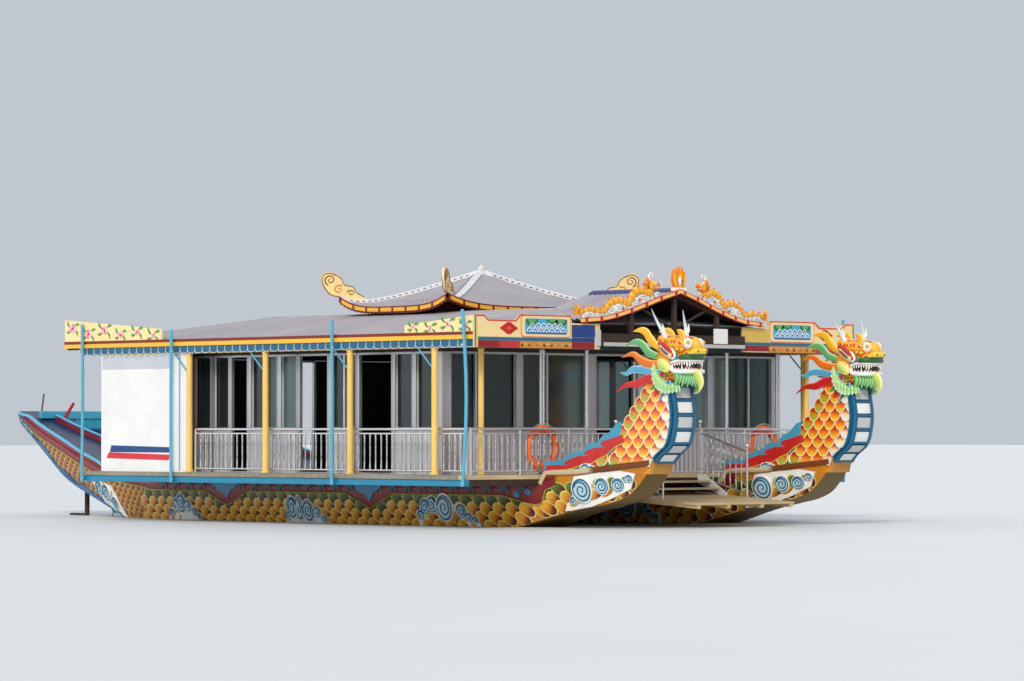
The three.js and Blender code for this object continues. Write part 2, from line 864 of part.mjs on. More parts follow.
// Cloud scrolls that overhang the pavilion's corners, in the plane of each hip: distance past the
// corner and height above it
const scrollOutline = [
  [-437, -95],
  [-400, 0],
  [-280, 75],
  [-220, 170],
  [-80, 205],
  [-10, 320],
  [140, 400],
  [270, 380],
  [310, 280],
  [260, 150],
  [170, 40],
  [60, 5],
  [-45, 5],
  [-45, -95],
];
const scrollThickness = 40;
const underPavilion = gridSheet(8, pavilionPoint, 600).translate(0, 0, fit);
const hipAngle = Math.atan2(pavilion.halfY, pavilion.halfX);
for (const [end, sign] of [["front", 1], ["aft", -1]]) {
  const plate = sidePrism(scrollOutline, -scrollThickness / 2, scrollThickness / 2)
    .rotateZ(sign > 0 ? hipAngle : Math.PI - hipAngle)
    .translate(
      pavilion.x + sign * pavilion.halfX,
      pavilion.halfY,
      pavilion.eave + pavilion.lift,
    );
  placeBothSides("scroll_" + end, cut(plate, underPavilion), materials.boardCream);
}

// Front gable: half-width and height of its curved slope, from the ridge out. Its front edge sweeps
// back towards the eaves.
const gableCurve = [
  [0, 2905],
  [400, 2790],
  [700, 2690],
  [1000, 2593],
  [1300, 2510],
  [1600, 2450],
  [2030, 2415],
];
const gable = { back: -1500, front: 450, thickness: 45, half: 2030, sweep: 130 };

function curveBand(curve, over, under) {
  const half = curve.map(([y, z]) => [y, z]);
  const whole = [...half.slice(1).reverse().map(([y, z]) => [-y, z]), ...half];
  return [
    ...whole.map(([y, z]) => [y, z - under]),
    ...whole.map(([y, z]) => [y, z + over]).reverse(),
  ];
}

function swept(geometry) {
  const position = geometry.getAttribute("position");
  for (let i = 0; i < position.count; i += 1) {
    const setBack = (gable.sweep * Math.abs(position.getY(i))) / gable.half;
    if (position.getX(i) > 0) position.setX(i, position.getX(i) - setBack);
  }
  return geometry;
}

const underRoof = roofSolid(fit, () => 1000);
const gableSheet = cut(
  swept(crossPrism(curveBand(gableCurve, 0, gable.thickness), gable.back, gable.front)),
  underRoof,
);
place(boat, "gable_roof", gableSheet, materials.roofSheet);

const verge = { under: 65, thickness: 40 };
const vergeFront = gable.front + fit + verge.thickness;
const vergeBand = swept(
  crossPrism(curveBand(gableCurve, 0, verge.under), gable.front + fit, vergeFront),
);
place(boat, "gable_verge", vergeBand, materials.trimOrange);

// Truss under the gable: curved rafters, king post and a header between the front boards
const truss = {
  back: 301,
  front: 361,
  rafter: 70,
  headerHalf: 1590,
  headerBottom: 1985,
  headerTop: 2190,
  postHalf: 40,
  postY: 960,
};
const trussCurve = gableCurve.slice(0, 4);
const trussPieces = [
  crossPrism(
    curveBand(trussCurve, -gable.thickness - fit, gable.thickness + fit + truss.rafter),
    truss.back,
    truss.front,
  ),
  box(truss.back, truss.front, -truss.headerHalf, truss.headerHalf, truss.headerBottom, truss.headerTop),
  ...[
    [0, 2820],
    [-truss.postY, 2500],
    [truss.postY, 2500],
  ].map(([y, top]) =>
    box(truss.back, truss.front, y - truss.postHalf, y + truss.postHalf, truss.headerTop - 10, top),
  ),
];
place(boat, "gable_truss", join(...trussPieces), materials.darkWood);

// Roof dragons and flame pearl on the gable
const underGable = crossPrism(
  curveBand(gableCurve, fit, 400),
  gable.back,
  gable.front + 100,
);
const ornament = { back: 390, front: vergeFront };
const dragonTop = [
  [2180, 2560],
  [2110, 2640],
  [2020, 2570],
  [1900, 2550],
  [1760, 2545],
  [1640, 2590],
  [1500, 2655],
  [1330, 2650],
  [1210, 2680],
  [1120, 2800],
  [970, 2860],
  [800, 2850],
  [740, 2900],
  [700, 3000],
  [650, 3030],
  [640, 3150],
  [560, 3160],
  [520, 3020],
  [420, 2990],
  [400, 2910],
  [440, 2740],
];
const dragonOutline = [
  ...gableCurve
    .filter(([y]) => y > 440)
    .map(([y, z]) => [y, z - 10]),
  ...dragonTop,
];
const roofDragon = swept(
  cut(crossPrism(dragonOutline, ornament.back, ornament.front), underGable),
);
placeBothSides("roof_dragon", roofDragon, materials.trimOrange);
const pearlOutline = [
  [-90, 2830],
  [90, 2830],
  [100, 2930],
  [130, 3020],
  [95, 3130],
  [60, 3150],
  [0, 3270],
  [-60, 3150],
  [-95, 3130],
  [-130, 3020],
  [-100, 2930],
];
const pearl = swept(cut(crossPrism(pearlOutline, ornament.back, ornament.front), underGable));
place(boat, "flame_pearl", pearl, materials.trimOrange);

// Front boards: half-width and height of the top edge, from the outer end in
const boardTop = [
  [fasciaHalf, 2430],
  [4050, 2430],
  [3960, 2360],
  [3390, 2360],
  [3295, 2450],
  [2235, 2450],
  [2200, 2335],
  [1600, 2335],
];
const boardBottom = 1941;
const boardOutline = [[1600, boardBottom], [fasciaHalf, boardBottom], ...boardTop];
placeBothSides(
  "front_board",
  crossPrism(boardOutline, roofFront + fit, roofFront + 40),
  materials.boardCream,
);

// Eave trims: strip, valance and the low parapets near the corners
const trim = { inner: roofHalf + fit, outer: 4222, bottom: 2066 };
const valance = { start: roofBack + 400, end: roofFront, outer: 4200, pitch: 195 };
const valanceBottom = eaveUnder + 1;
// One scallop of the valance: share of its width, and height above its lowest point
const scallop = [
  [0, 38],
  [0.18, 9],
  [0.5, 0],
  [0.82, 9],
];
const scallops = Math.round((valance.end - valance.start) / valance.pitch);
const scallopWidth = (valance.end - valance.start) / scallops;
const valanceOutline = [
  [valance.end, valanceBottom + scallop[0][1]],
  [valance.end, trim.bottom + 10],
  [valance.start, trim.bottom + 10],
];
for (let i = 0; i < scallops; i += 1) {
  for (const [share, rise] of scallop) {
    valanceOutline.push([valance.start + (i + share) * scallopWidth, valanceBottom + rise]);
  }
}
const parapets = [
  [-10000, 2550, -7360, 2350],
  [-1325, 2300, roofFront, 2430],
];
const eaveTrim = join(
  box(roofBack, roofFront, trim.inner, trim.outer, trim.bottom, eaveTop),
  sidePrism(valanceOutline, trim.inner, valance.outer),
  ...parapets.map(([x0, z0, x1, z1]) =>
    sidePrism(
      [
        [x0, eaveTop - 10],
        [x1, eaveTop - 10],
        [x1, z1],
        [x0, z0],
      ],
      4185,
      4215,
    ),
  ),
);
placeBothSides("eave_trim", eaveTrim, materials.trimRed);
const aftTrim = box(roofBack - 40, roofBack - fit, -4200, 4200, 2066, eaveTop);
place(boat, "eave_trim_aft", aftTrim, materials.trimRed);

// Life rings between the front railing and the columns
const ring = { radius: 305, tube: 50, y: 2470, z: 410 };
const ringTorus = new THREE.TorusGeometry(ring.radius, ring.tube, 8, 20)
  .rotateY(Math.PI / 2)
  .translate(frontRail.back - fit - ring.tube, ring.y, ring.z);
placeBothSides("life_ring", ringTorus, materials.ringOrange);

// Stern bulwark between the two stern tips
const bulwarkFront = -13640;
const bulwarkBack = -13740;
const sternBulwark = join(
  sidePrism(
    [
      [bulwarkBack, onSheer(bulwarkBack)],
      [bulwarkFront, onSheer(bulwarkFront)],
      [bulwarkFront, 1030],
      [bulwarkBack, 1030],
    ],
    -2000,
    2000,
  ),
  box(bulwarkBack + 20, bulwarkFront - 20, -1640, 1640, 560, 980),
);
place(boat, "stern_bulwark", sternBulwark, materials.beamBlue);

// Rudders: stock in the hull's bore, blade behind it
const rudder = join(
  rod([stockX, hullOffset, -1190], [stockX, hullOffset, stockTop], stockRadius, stockRadius, roundSides),
  sidePrism(
    [
      [stockX + 120, -1200],
      [stockX - 560, -1200],
      [stockX - 500, -780],
      [stockX + 60, -780],
    ],
    hullOffset - 20,
    hullOffset + 20,
  ),
);
placeBothSides("rudder", rudder, materials.darkWood);

// Propellers on their shafts, and the brackets that carry the shafts
const propeller = { radius: 200, bladeWidth: 110, bladeThickness: 14, blades: 3, pitchAngle: 0.5 };
const propellerPieces = [
  rod(
    [propellerX, 0, 0],
    [shaftStart, 0, 0],
    shaftRadius,
    shaftRadius,
    roundSides,
  ),
  rod([propellerX - 70, 0, 0], [propellerX + 60, 0, 0], 34, 44, 12),
];
for (let i = 0; i < propeller.blades; i += 1) {
  const blade = flatPrism(
    [
      [-propeller.bladeWidth / 4, 20],
      [propeller.bladeWidth / 4, 20],
      [propeller.bladeWidth / 2, 130],
      [propeller.bladeWidth / 4, propeller.radius],
      [-propeller.bladeWidth / 4, propeller.radius],
      [-propeller.bladeWidth / 2, 130],
    ],
    -propeller.bladeThickness / 2,
    propeller.bladeThickness / 2,
  );
  blade.rotateY(Math.PI / 2 - propeller.pitchAngle);
  blade.rotateX((i * 2 * Math.PI) / propeller.blades).translate(propellerX, 0, 0);
  propellerPieces.push(blade);
}
const propellerBody = join(...propellerPieces).translate(0, hullOffset, shaftHeight);
placeBothSides("propeller", propellerBody, materials.bronze);

const underHull = (x) => valueAt(hullSections, "bottom", x) - fit;
const bracket = cut(
  join(
    rod(
      [bracketX - 100, hullOffset, shaftHeight],
      [bracketX + 100, hullOffset, shaftHeight],
      45,
      45,
      roundSides,
    ),
    sidePrism(
      [
        [bracketX - bracketHalf, shaftHeight + 10],
        [bracketX + bracketHalf, shaftHeight + 10],
        [bracketX + bracketHalf, underHull(bracketX + bracketHalf)],
        [bracketX - bracketHalf, underHull(bracketX - bracketHalf)],
      ],
      hullOffset - 15,
      hullOffset + 15,
    ),
  ),
  rod(
    [bracketX - 200, hullOffset, shaftHeight],
    [bracketX + 200, hullOffset, shaftHeight],
    shaftRadius + boreClearance,
    shaftRadius + boreClearance,
    roundSides,
  ),
);
placeBothSides("shaft_bracket", bracket, materials.bronze);

const part = new THREE.Group();
part.add(boat);
export default part;
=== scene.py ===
"""Looks of the dragon boat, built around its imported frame.

Metres. The row frame has x forward, y to port and z up from the hull bottoms. Every shape below is drawn
in boat coordinates: x = 0 is the deck's front edge, y = 0 the centreline, z = 0 the top of the deck.
"""
from functools import lru_cache
from math import atan2, copysign, cos, exp, hypot, pi, radians, sin, sqrt

import bpy
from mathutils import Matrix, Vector


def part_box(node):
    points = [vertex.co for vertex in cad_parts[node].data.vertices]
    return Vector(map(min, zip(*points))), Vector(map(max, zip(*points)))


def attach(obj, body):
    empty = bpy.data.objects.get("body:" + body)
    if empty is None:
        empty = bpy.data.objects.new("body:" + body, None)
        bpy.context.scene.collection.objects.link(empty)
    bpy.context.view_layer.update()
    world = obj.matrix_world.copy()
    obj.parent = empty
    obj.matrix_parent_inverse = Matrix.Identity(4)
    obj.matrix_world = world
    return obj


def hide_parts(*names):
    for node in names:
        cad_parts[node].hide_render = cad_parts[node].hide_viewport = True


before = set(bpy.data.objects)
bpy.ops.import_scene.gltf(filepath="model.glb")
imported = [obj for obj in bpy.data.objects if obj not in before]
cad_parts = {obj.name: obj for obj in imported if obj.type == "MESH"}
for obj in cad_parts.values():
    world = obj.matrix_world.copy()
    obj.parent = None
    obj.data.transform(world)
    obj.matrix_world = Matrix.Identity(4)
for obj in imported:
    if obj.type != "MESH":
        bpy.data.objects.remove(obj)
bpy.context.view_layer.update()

DECK_LOW, DECK_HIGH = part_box("deck")
ORIGIN = Vector((DECK_HIGH.x, 0.0, DECK_HIGH.z))
DECK_HALF = DECK_HIGH.y
DECK_LENGTH = DECK_HIGH.x - DECK_LOW.x
HULL_OFFSET = 2.0
WATERLINE = -0.82
SIDES = (("starboard", -1), ("port", 1))
TURN = 2 * pi
X_AXIS, Y_AXIS, Z_AXIS = (1, 0, 0), (0, 1, 0), (0, 0, 1)

# Colours as sRGB bytes
CREAM = (252, 232, 168)
WHITE = (244, 243, 238)
PALE_GREY = (205, 205, 203)
YELLOW = (255, 206, 40)
ORANGE = (243, 120, 10)
RED = (196, 20, 12)
DEEP_RED = (128, 12, 16)
DARK_RED = (84, 8, 12)
TEAL = (0, 98, 136)
BLUE = (20, 132, 178)
SKY = (92, 186, 218)
PALE_BLUE = (190, 222, 232)
OLIVE = (112, 84, 12)
BROWN = (120, 62, 24)
BLACK = (14, 12, 12)


@lru_cache(maxsize=None)
def linear(colour):
    return tuple((c / 255 / 12.92) if c <= 10 else ((c / 255 + 0.055) / 1.055) ** 2.4 for c in colour) + (1.0,
                                                                                                          )


def mixed(a, b, share):
    share = min(1.0, max(0.0, share))
    return tuple(p + (q - p) * share for p, q in zip(a, b))


def smooth_step(low, high, value):
    share = min(1.0, max(0.0, (value - low) / (high - low)))
    return share * share * (3 - 2 * share)


# Materials: a paint, metal, wood or glass with its own mottle, grain, wear and relief
def finish(name, colour=None, rough=0.45, metal=0.0, mottle=0.12, scale=3.0, stretch=(1, 1, 1),
           grain=60.0, relief=0.1, dirt=(70, 58, 40), wear=0.12, coat=0.0):
    material = bpy.data.materials.new(name)
    material.use_nodes = True
    tree = material.node_tree
    shader = tree.nodes["Principled BSDF"]
    shader.inputs["Metallic"].default_value = metal
    shader.inputs["Coat Weight"].default_value = coat

    def node(kind, **inputs):
        made = tree.nodes.new(kind)
        for key, value in inputs.items():
            made.inputs[key.replace("_", " ")].default_value = value
        return made

    def link(source, out, target, into):
        tree.links.new(source.outputs[out], target.inputs[into])

    place = node("ShaderNodeTexCoord")
    spread = node("ShaderNodeMapping", Scale=stretch)
    link(place, "Object", spread, "Vector")
    patches = node("ShaderNodeTexNoise", Scale=scale, Detail=6.0, Roughness=0.6)
    link(spread, 0, patches, "Vector")
    fine = node("ShaderNodeTexNoise", Scale=grain, Detail=3.0)
    link(spread, 0, fine, "Vector")
    shade = node("ShaderNodeMapRange", From_Min=0.3, From_Max=0.7, To_Min=1 - mottle, To_Max=1 + 0.4 * mottle)
    link(patches, "Fac", shade, "Value")
    tint = node("ShaderNodeMix")
    tint.data_type, tint.blend_type = "RGBA", "MULTIPLY"
    tint.inputs["Factor"].default_value = 1.0
    if colour is None:
        source = node("ShaderNodeAttribute")
        source.attribute_name = "tint"
        link(source, "Color", tint, 6)
    else:
        tint.inputs[6].default_value = linear(colour)
    link(shade, 0, tint, 7)
    stains = node("ShaderNodeTexNoise", Scale=scale * 2.7, Detail=8.0, Roughness=0.75)
    link(spread, 0, stains, "Vector")
    spots = node("ShaderNodeMapRange", From_Min=0.56, From_Max=0.74, To_Min=0.0, To_Max=wear)
    link(stains, "Fac", spots, "Value")
    soiled = node("ShaderNodeMix")
    soiled.data_type = "RGBA"
    soiled.inputs[7].default_value = linear(dirt)
    link(spots, 0, soiled, "Factor")
    link(tint, 2, soiled, 6)
    link(soiled, 2, shader, "Base Color")
    gloss = node("ShaderNodeMapRange", From_Min=0.3, From_Max=0.7, To_Min=rough - 0.08, To_Max=rough + 0.12)
    link(fine, "Fac", gloss, "Value")
    link(gloss, 0, shader, "Roughness")
    bump = node("ShaderNodeBump", Strength=relief, Distance=0.004)
    link(fine, "Fac", bump, "Height")
    link(bump, 0, shader, "Normal")
    return material


MATERIALS = {
    "relief": finish("relief_paint", None, rough=0.34, mottle=0.1, relief=0.12, wear=0.14, coat=0.25),
    "board": finish("board_paint", None, rough=0.42, mottle=0.08, scale=2.0, relief=0.08, wear=0.16),
    "hull": finish("hull_paint", None, rough=0.42, mottle=0.2, scale=1.6, relief=0.2, wear=0.3),
    "beam_blue": finish("beam_blue", (8, 134, 172), rough=0.4, stretch=(0.4, 1, 1), wear=0.3,
                        dirt=(96, 118, 118)),
    "pole_blue": finish("pole_blue", (84, 172, 200), rough=0.42, stretch=(1, 1, 0.3), wear=0.45,
                        dirt=(150, 168, 168)),
    "plank": finish("weathered_plank", (158, 146, 128), rough=0.75, mottle=0.35, scale=4.0,
                    stretch=(0.25, 2, 2), relief=0.5, wear=0.4),
    "light_wood": finish("light_wood", (206, 182, 138), rough=0.6, mottle=0.25, scale=4.0,
                         stretch=(2, 0.3, 2), relief=0.4, wear=0.35),
    # dark wood, also used as painted shade: the linings inside the cabin and under the roof sheets, and the
    # drum under the pavilion
    "dark_wood": finish("dark_wood", (58, 42, 32), rough=0.7, mottle=0.4, scale=3.0, stretch=(0.3, 2, 2),
                        relief=0.4, wear=0.25),
    "yellow": finish("column_yellow", (246, 202, 104), rough=0.4, stretch=(1, 1, 0.4), wear=0.22,
                     dirt=(150, 120, 60)),
    "panel": finish("white_panel", (238, 238, 236), rough=0.42, mottle=0.05, scale=1.2, stretch=(1, 1, 0.4),
                    wear=0.12, dirt=(176, 170, 158)),
    # a dimmed copy of the white panel: painted shade on the cabin's walls under the eave
    "shaded_wall_panel": finish("shaded_wall_panel", (206, 202, 204), rough=0.45, mottle=0.1, stretch=(2, 2, 0.3),
                         wear=0.25, dirt=(140, 130, 120)),
    "grey_panel": finish("grey_panel", (196, 194, 190), rough=0.45, mottle=0.1, wear=0.2,
                         dirt=(140, 132, 120)),
    "steel": finish("stainless", (224, 224, 226), rough=0.24, metal=0.9, mottle=0.08, grain=120.0, wear=0.08,
                    dirt=(130, 120, 108)),
    "aluminium": finish("aluminium", (188, 190, 192), rough=0.34, metal=0.7, mottle=0.1, wear=0.12),
    "sheet": finish("roof_sheet", (170, 165, 172), rough=0.6, mottle=0.2, scale=1.4, stretch=(1, 0.3, 1),
                    wear=0.34, dirt=(120, 100, 92)),
    "ridge": finish("ridge_cap", (226, 224, 226), rough=0.4, mottle=0.1, wear=0.25, dirt=(150, 140, 130)),
    "ridge_blue": finish("ridge_blue", (38, 60, 120), rough=0.4, mottle=0.2, wear=0.2),
    "ring": finish("ring_orange", (246, 112, 40), rough=0.5, mottle=0.12, wear=0.2, dirt=(120, 70, 44)),
    "grey_band": finish("grey_band", (190, 190, 184), rough=0.6, mottle=0.15),
    "lacquer": finish("red_lacquer", (168, 18, 24), rough=0.25, mottle=0.15, coat=0.5),
    "bronze": finish("bronze", (150, 112, 62), rough=0.38, metal=0.9, mottle=0.25, wear=0.35,
                     dirt=(60, 76, 60)),
    "rubber": finish("rubber", (34, 34, 36), rough=0.75, mottle=0.3),
    "glass": finish("window_glass", (104, 124, 122), rough=0.09, mottle=0.1, wear=0.15, relief=0.0,
                    dirt=(150, 160, 150)),
}
glass_shader = MATERIALS["glass"].node_tree.nodes["Principled BSDF"]
glass_shader.inputs["Transmission Weight"].default_value = 0.92
glass_shader.inputs["IOR"].default_value = 1.45


def loop_area(outline):
    return sum(p[0] * q[1] - q[0] * p[1] for p, q in zip(outline, outline[1:] + outline[:1]))


def bands(rings, count):
    """Quads between closed rings of count points each, one ring after the other."""
    return [(i * count + k, i * count + (k + 1) % count, (i + 1) * count + (k + 1) % count,
             (i + 1) * count + k)
            for i in range(rings - 1) for k in range(count)]


def caps(rings, count):
    """Faces that close the first and the last of the rings."""
    return [list(range(count))[::-1], [(rings - 1) * count + k for k in range(count)]]


def right_handed(place, a, b):
    """Whether a, b and the depth of a place function turn the way x, y and z do."""
    step = 0.001
    start = Vector(place(a, b, 0.0))
    da, db, dc = (Vector(place(a + da, b + db, dc)) - start for da, db, dc in
                  ((step, 0, 0), (0, step, 0), (0, 0, step)))
    return da.cross(db).dot(dc) > 0


# Shapes: points, faces and paint of one piece, gathered before it becomes a mesh
class Shape:
    """Collects solids. side is 1 for port and -1 for starboard, and y is then measured outboard."""

    def __init__(self, side=1, shift=0.0):
        self.side, self.shift = side, shift
        self.points, self.faces, self.keys, self.tints = [], [], [], []
        self.palette = []

    def add(self, points, faces, material, tint=None):
        """tint is one colour for all faces, or a list with a colour for each point."""
        base = len(self.points)
        self.points.extend(points)
        if material not in self.palette:
            self.palette.append(material)
        key = self.palette.index(material)
        each = isinstance(tint, list)
        for face in faces:
            self.faces.append([base + k for k in face])
            self.keys.append(key)
            self.tints.append([tint[k] for k in face] if each else [tint or WHITE] * len(face))

    def box(self, x0, x1, y0, y1, z0, z1, material, tint=None):
        points = [(x, y, z) for x in (x0, x1) for y in (y0, y1) for z in (z0, z1)]
        faces = [(0, 1, 3, 2), (4, 6, 7, 5), (0, 4, 5, 1), (2, 3, 7, 6), (0, 2, 6, 4), (1, 5, 7, 3)]
        self.add(points, faces, material, tint)

    def prism(self, outline, low, high, place, material, tint=None, side_tint=None):
        """outline is a list of pairs, and place(a, b, depth) gives the point in space."""
        count = len(outline)
        if (loop_area(outline) < 0) == right_handed(place, *outline[0]):
            outline = outline[::-1]
        points = [place(a, b, depth) for depth in (low, high) for a, b in outline]
        self.add(points, caps(2, count), material, tint)
        self.add(points, bands(2, count), material, side_tint or tint)

    def tube(self, path, radii, material, tint=None, sides=8, flat=1.0, start_up=Z_AXIS):
        """A round or flattened tube along a path, closed at both ends."""
        path = [Vector(p) for p in path]
        radii = radii if isinstance(radii, list) else [radii] * len(path)
        points, colours = [], []
        up = Vector(start_up)
        for i, p in enumerate(path):
            ahead = (path[min(i + 1, len(path) - 1)] - path[max(i - 1, 0)]).normalized()
            across = up.cross(ahead)
            if across.length < 1e-4:
                across = Vector((0, 1, 0)).cross(ahead)
            across.normalize()
            up = ahead.cross(across).normalized()
            for k in range(sides):
                angle = TURN * k / sides
                reach = across * cos(angle) * radii[i] + up * sin(angle) * radii[i] * flat
                points.append(tuple(p + reach))
                colours.append(tint[i] if isinstance(tint, list) else tint or WHITE)
        self.add(points, bands(len(path), sides) + caps(len(path), sides), material, colours)

    def rod(self, start, end, radius, material, tint=None, sides=12, end_radius=None):
        self.tube([start, end], [radius, radius if end_radius is None else end_radius], material, tint, sides,
                  start_up=X_AXIS if abs(start[0] - end[0]) < 1e-3 else Z_AXIS)

    def ball(self, centre, radii, material, tint=None, rings=8, sides=14):
        (x, y, z), (rx, ry, rz) = centre, radii
        points = [(x, y, z - rz)]
        for i in range(1, rings):
            lift = pi * i / rings - pi / 2
            points += [(x + rx * cos(lift) * cos(TURN * k / sides),
                        y + ry * cos(lift) * sin(TURN * k / sides), z + rz * sin(lift)) for k in range(sides)]
        points.append((x, y, z + rz))
        last, top = len(points) - 1, 1 + (rings - 2) * sides
        faces = [(0, 1 + (k + 1) % sides, 1 + k) for k in range(sides)]
        faces += [tuple(1 + k for k in quad) for quad in bands(rings - 1, sides)]
        faces += [(top + k, top + (k + 1) % sides, last) for k in range(sides)]
        self.add(points, faces, material, tint)

    def grid(self, columns, rows, point_at, material, tint_at=None, back=None):
        """A sheet over columns by rows. back gives a second skin, which the edges join to the first."""
        points = [point_at(i, j) for i in range(columns) for j in range(rows)]
        tints = [tint_at(i, j) if tint_at else WHITE for i in range(columns) for j in range(rows)]
        faces = [(i * rows + j, (i + 1) * rows + j, (i + 1) * rows + j + 1, i * rows + j + 1)
                 for i in range(columns - 1) for j in range(rows - 1)]
        if back:
            count = len(points)
            points += [back(i, j) for i in range(columns) for j in range(rows)]
            tints += tints
            faces += [tuple(k + count for k in reversed(face)) for face in faces]
            loop = [i * rows for i in range(columns)]
            loop += [(columns - 1) * rows + j for j in range(1, rows)]
            loop += [i * rows + rows - 1 for i in range(columns - 2, -1, -1)]
            loop += [j for j in range(rows - 2, 0, -1)]
            faces += [(b, a, a + count, b + count) for a, b in zip(loop, loop[1:] + loop[:1])]
        self.add(points, faces, material, tints)

    def make(self, name, node=None, slot=None, body="boat", bevel=0.0, sharp=38):
        """Turns the shape into a piece that rides on its body in place of a node of the frame."""
        mesh = bpy.data.meshes.new(name)
        places = [(x + ORIGIN.x, self.side * y + self.shift, z + ORIGIN.z) for x, y, z in self.points]
        turned = self.side < 0
        mesh.from_pydata(places, [], [f[::-1] if turned else f for f in self.faces])
        for key in self.palette:
            mesh.materials.append(MATERIALS[key])
        mesh.polygons.foreach_set("material_index", self.keys)
        colours = mesh.color_attributes.new("tint", "BYTE_COLOR", "CORNER")
        flat = []
        for tints in self.tints:
            for tint in (reversed(tints) if turned else tints):
                flat.extend(linear(tint))
        colours.data.foreach_set("color", flat)
        mesh.polygons.foreach_set("use_smooth", [True] * len(mesh.polygons))
        mesh.set_sharp_from_angle(angle=radians(sharp))
        piece = bpy.data.objects.new(name, mesh)
        bpy.context.scene.collection.objects.link(piece)
        if bevel:
            edge = piece.modifiers.new("edge", "BEVEL")
            edge.width, edge.segments, edge.limit_method = bevel, 2, "ANGLE"
            edge.angle_limit = radians(50)
        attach(piece, body)
        if node:
            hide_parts(node)


def mirrored(name, node, slot, bevel=0.0):
    """An empty shape for each side in turn, made into a piece once the loop has drawn on it."""
    for side_name, side in SIDES:
        shape = Shape(side)
        yield shape
        shape.make(name + "_" + side_name, node + "_" + side_name, slot, bevel=bevel)


def along_y(a, b, depth):
    return (a, depth, b)


def along_x(a, b, depth):
    return (depth, a, b)


def curve_at(table, column, x):
    """Value of a table's column at x, on a smooth curve that doesn't swing past its points."""
    if x <= table[0][0]:
        return table[0][column]
    if x >= table[-1][0]:
        return table[-1][column]
    i = next(k for k in range(1, len(table)) if table[k][0] >= x) - 1

    def slope(k):
        if k <= 0 or k >= len(table) - 1:
            return secant(min(max(k, 1), len(table) - 1) - 1)
        before, after = secant(k - 1), secant(k)
        return 0.0 if before * after <= 0 else 2 * before * after / (before + after)

    def secant(k):
        return (table[k + 1][column] - table[k][column]) / (table[k + 1][0] - table[k][0])

    width = table[i + 1][0] - table[i][0]
    t = (x - table[i][0]) / width
    start, end = table[i][column], table[i + 1][column]
    return ((2 * t**3 - 3 * t**2 + 1) * start + (t**3 - 2 * t**2 + t) * width * slope(i)
            + (3 * t**2 - 2 * t**3) * end + (t**3 - t**2) * width * slope(i + 1))


def spans(start, end, count):
    return [start + (end - start) * i / count for i in range(count + 1)]


# Hulls
HULL_TIP, HULL_TAIL = 2.05, -13.98  # the surface is measured between these ends
UNDER_DECK = -0.1703
HULL = [  # x, bottom height, half-width of the bottom, sheer height, half-width of the sheer
    (-14.0, 0.84, 0.18, 1.03, 0.24),
    (-13.3, 0.405, 0.25, 0.73, 0.35),
    (-12.3, -0.21, 0.34, 0.41, 0.5),
    (-11.6, -0.45, 0.4, 0.185, 0.6),
    (-10.8, -0.72, 0.46, -0.02, 0.69),
    (-9.9, -1.02, 0.52, -0.14, 0.75),
    (-9.43, -1.14, 0.54, UNDER_DECK, 0.78),
    (-8.8, -1.27, 0.56, UNDER_DECK, 0.8),
    (-2.5, -1.27, 0.56, UNDER_DECK, 0.85),
    (-0.6, -0.82, 0.48, UNDER_DECK, 0.7),
    (0.005, -0.668, 0.41, UNDER_DECK, 0.6),
    (0.06, -0.655, 0.4, 0.0, 0.59),
    (0.7, -0.515, 0.33, 0.03, 0.48),
    (1.27, -0.42, 0.285, 0.09, 0.38),
    (1.62, -0.3, 0.26, 0.13, 0.31),
    (1.88, -0.075, 0.24, 0.155, 0.265),
    (2.06, 0.14, 0.23, 0.18, 0.235),
]
FLARE = 1.75  # how fast the side spreads from the bottom to the sheer


def row_at(table, x):
    return [curve_at(table, column, x) for column in range(1, len(table[0]))]


@lru_cache(maxsize=None)
def hull_row_at(x):
    return row_at(HULL, x)


def hull_row(x):
    return hull_row_at(round(x, 3))


def keel_at(x):
    return hull_row(x)[0]


def sheer_at(x):
    return hull_row(x)[2]


def hull_half(x, z):
    bottom, bottom_half, sheer, sheer_half = hull_row(x)
    share = min(1.0, max(0.0, (z - bottom) / (sheer - bottom)))
    return bottom_half + (sheer_half - bottom_half) * (1 - (1 - share) ** FLARE)


def hull_surface(face):
    """Point on the hull's side at x, z and a height off the planks. face is 1 outboard, -1 inboard."""
    def surface(x, z, out):
        x = min(HULL_TIP, max(HULL_TAIL, x))
        half = hull_half(x, z)
        lean = (hull_half(x, z + 0.02) - hull_half(x, z - 0.02)) / 0.04
        taper = (hull_half(min(HULL_TIP, x + 0.05), z) - hull_half(x - 0.05, z)) / 0.1
        length = sqrt(1 + lean * lean + taper * taper)
        return (x - taper / length * out, face * (half + out / length), z - lean / length * out)
    return surface


def flat_surface(half_at, face):
    def surface(x, z, out):
        return (x, face * (half_at(x, z) + out), z)
    return surface


TILE_STEPS = 12


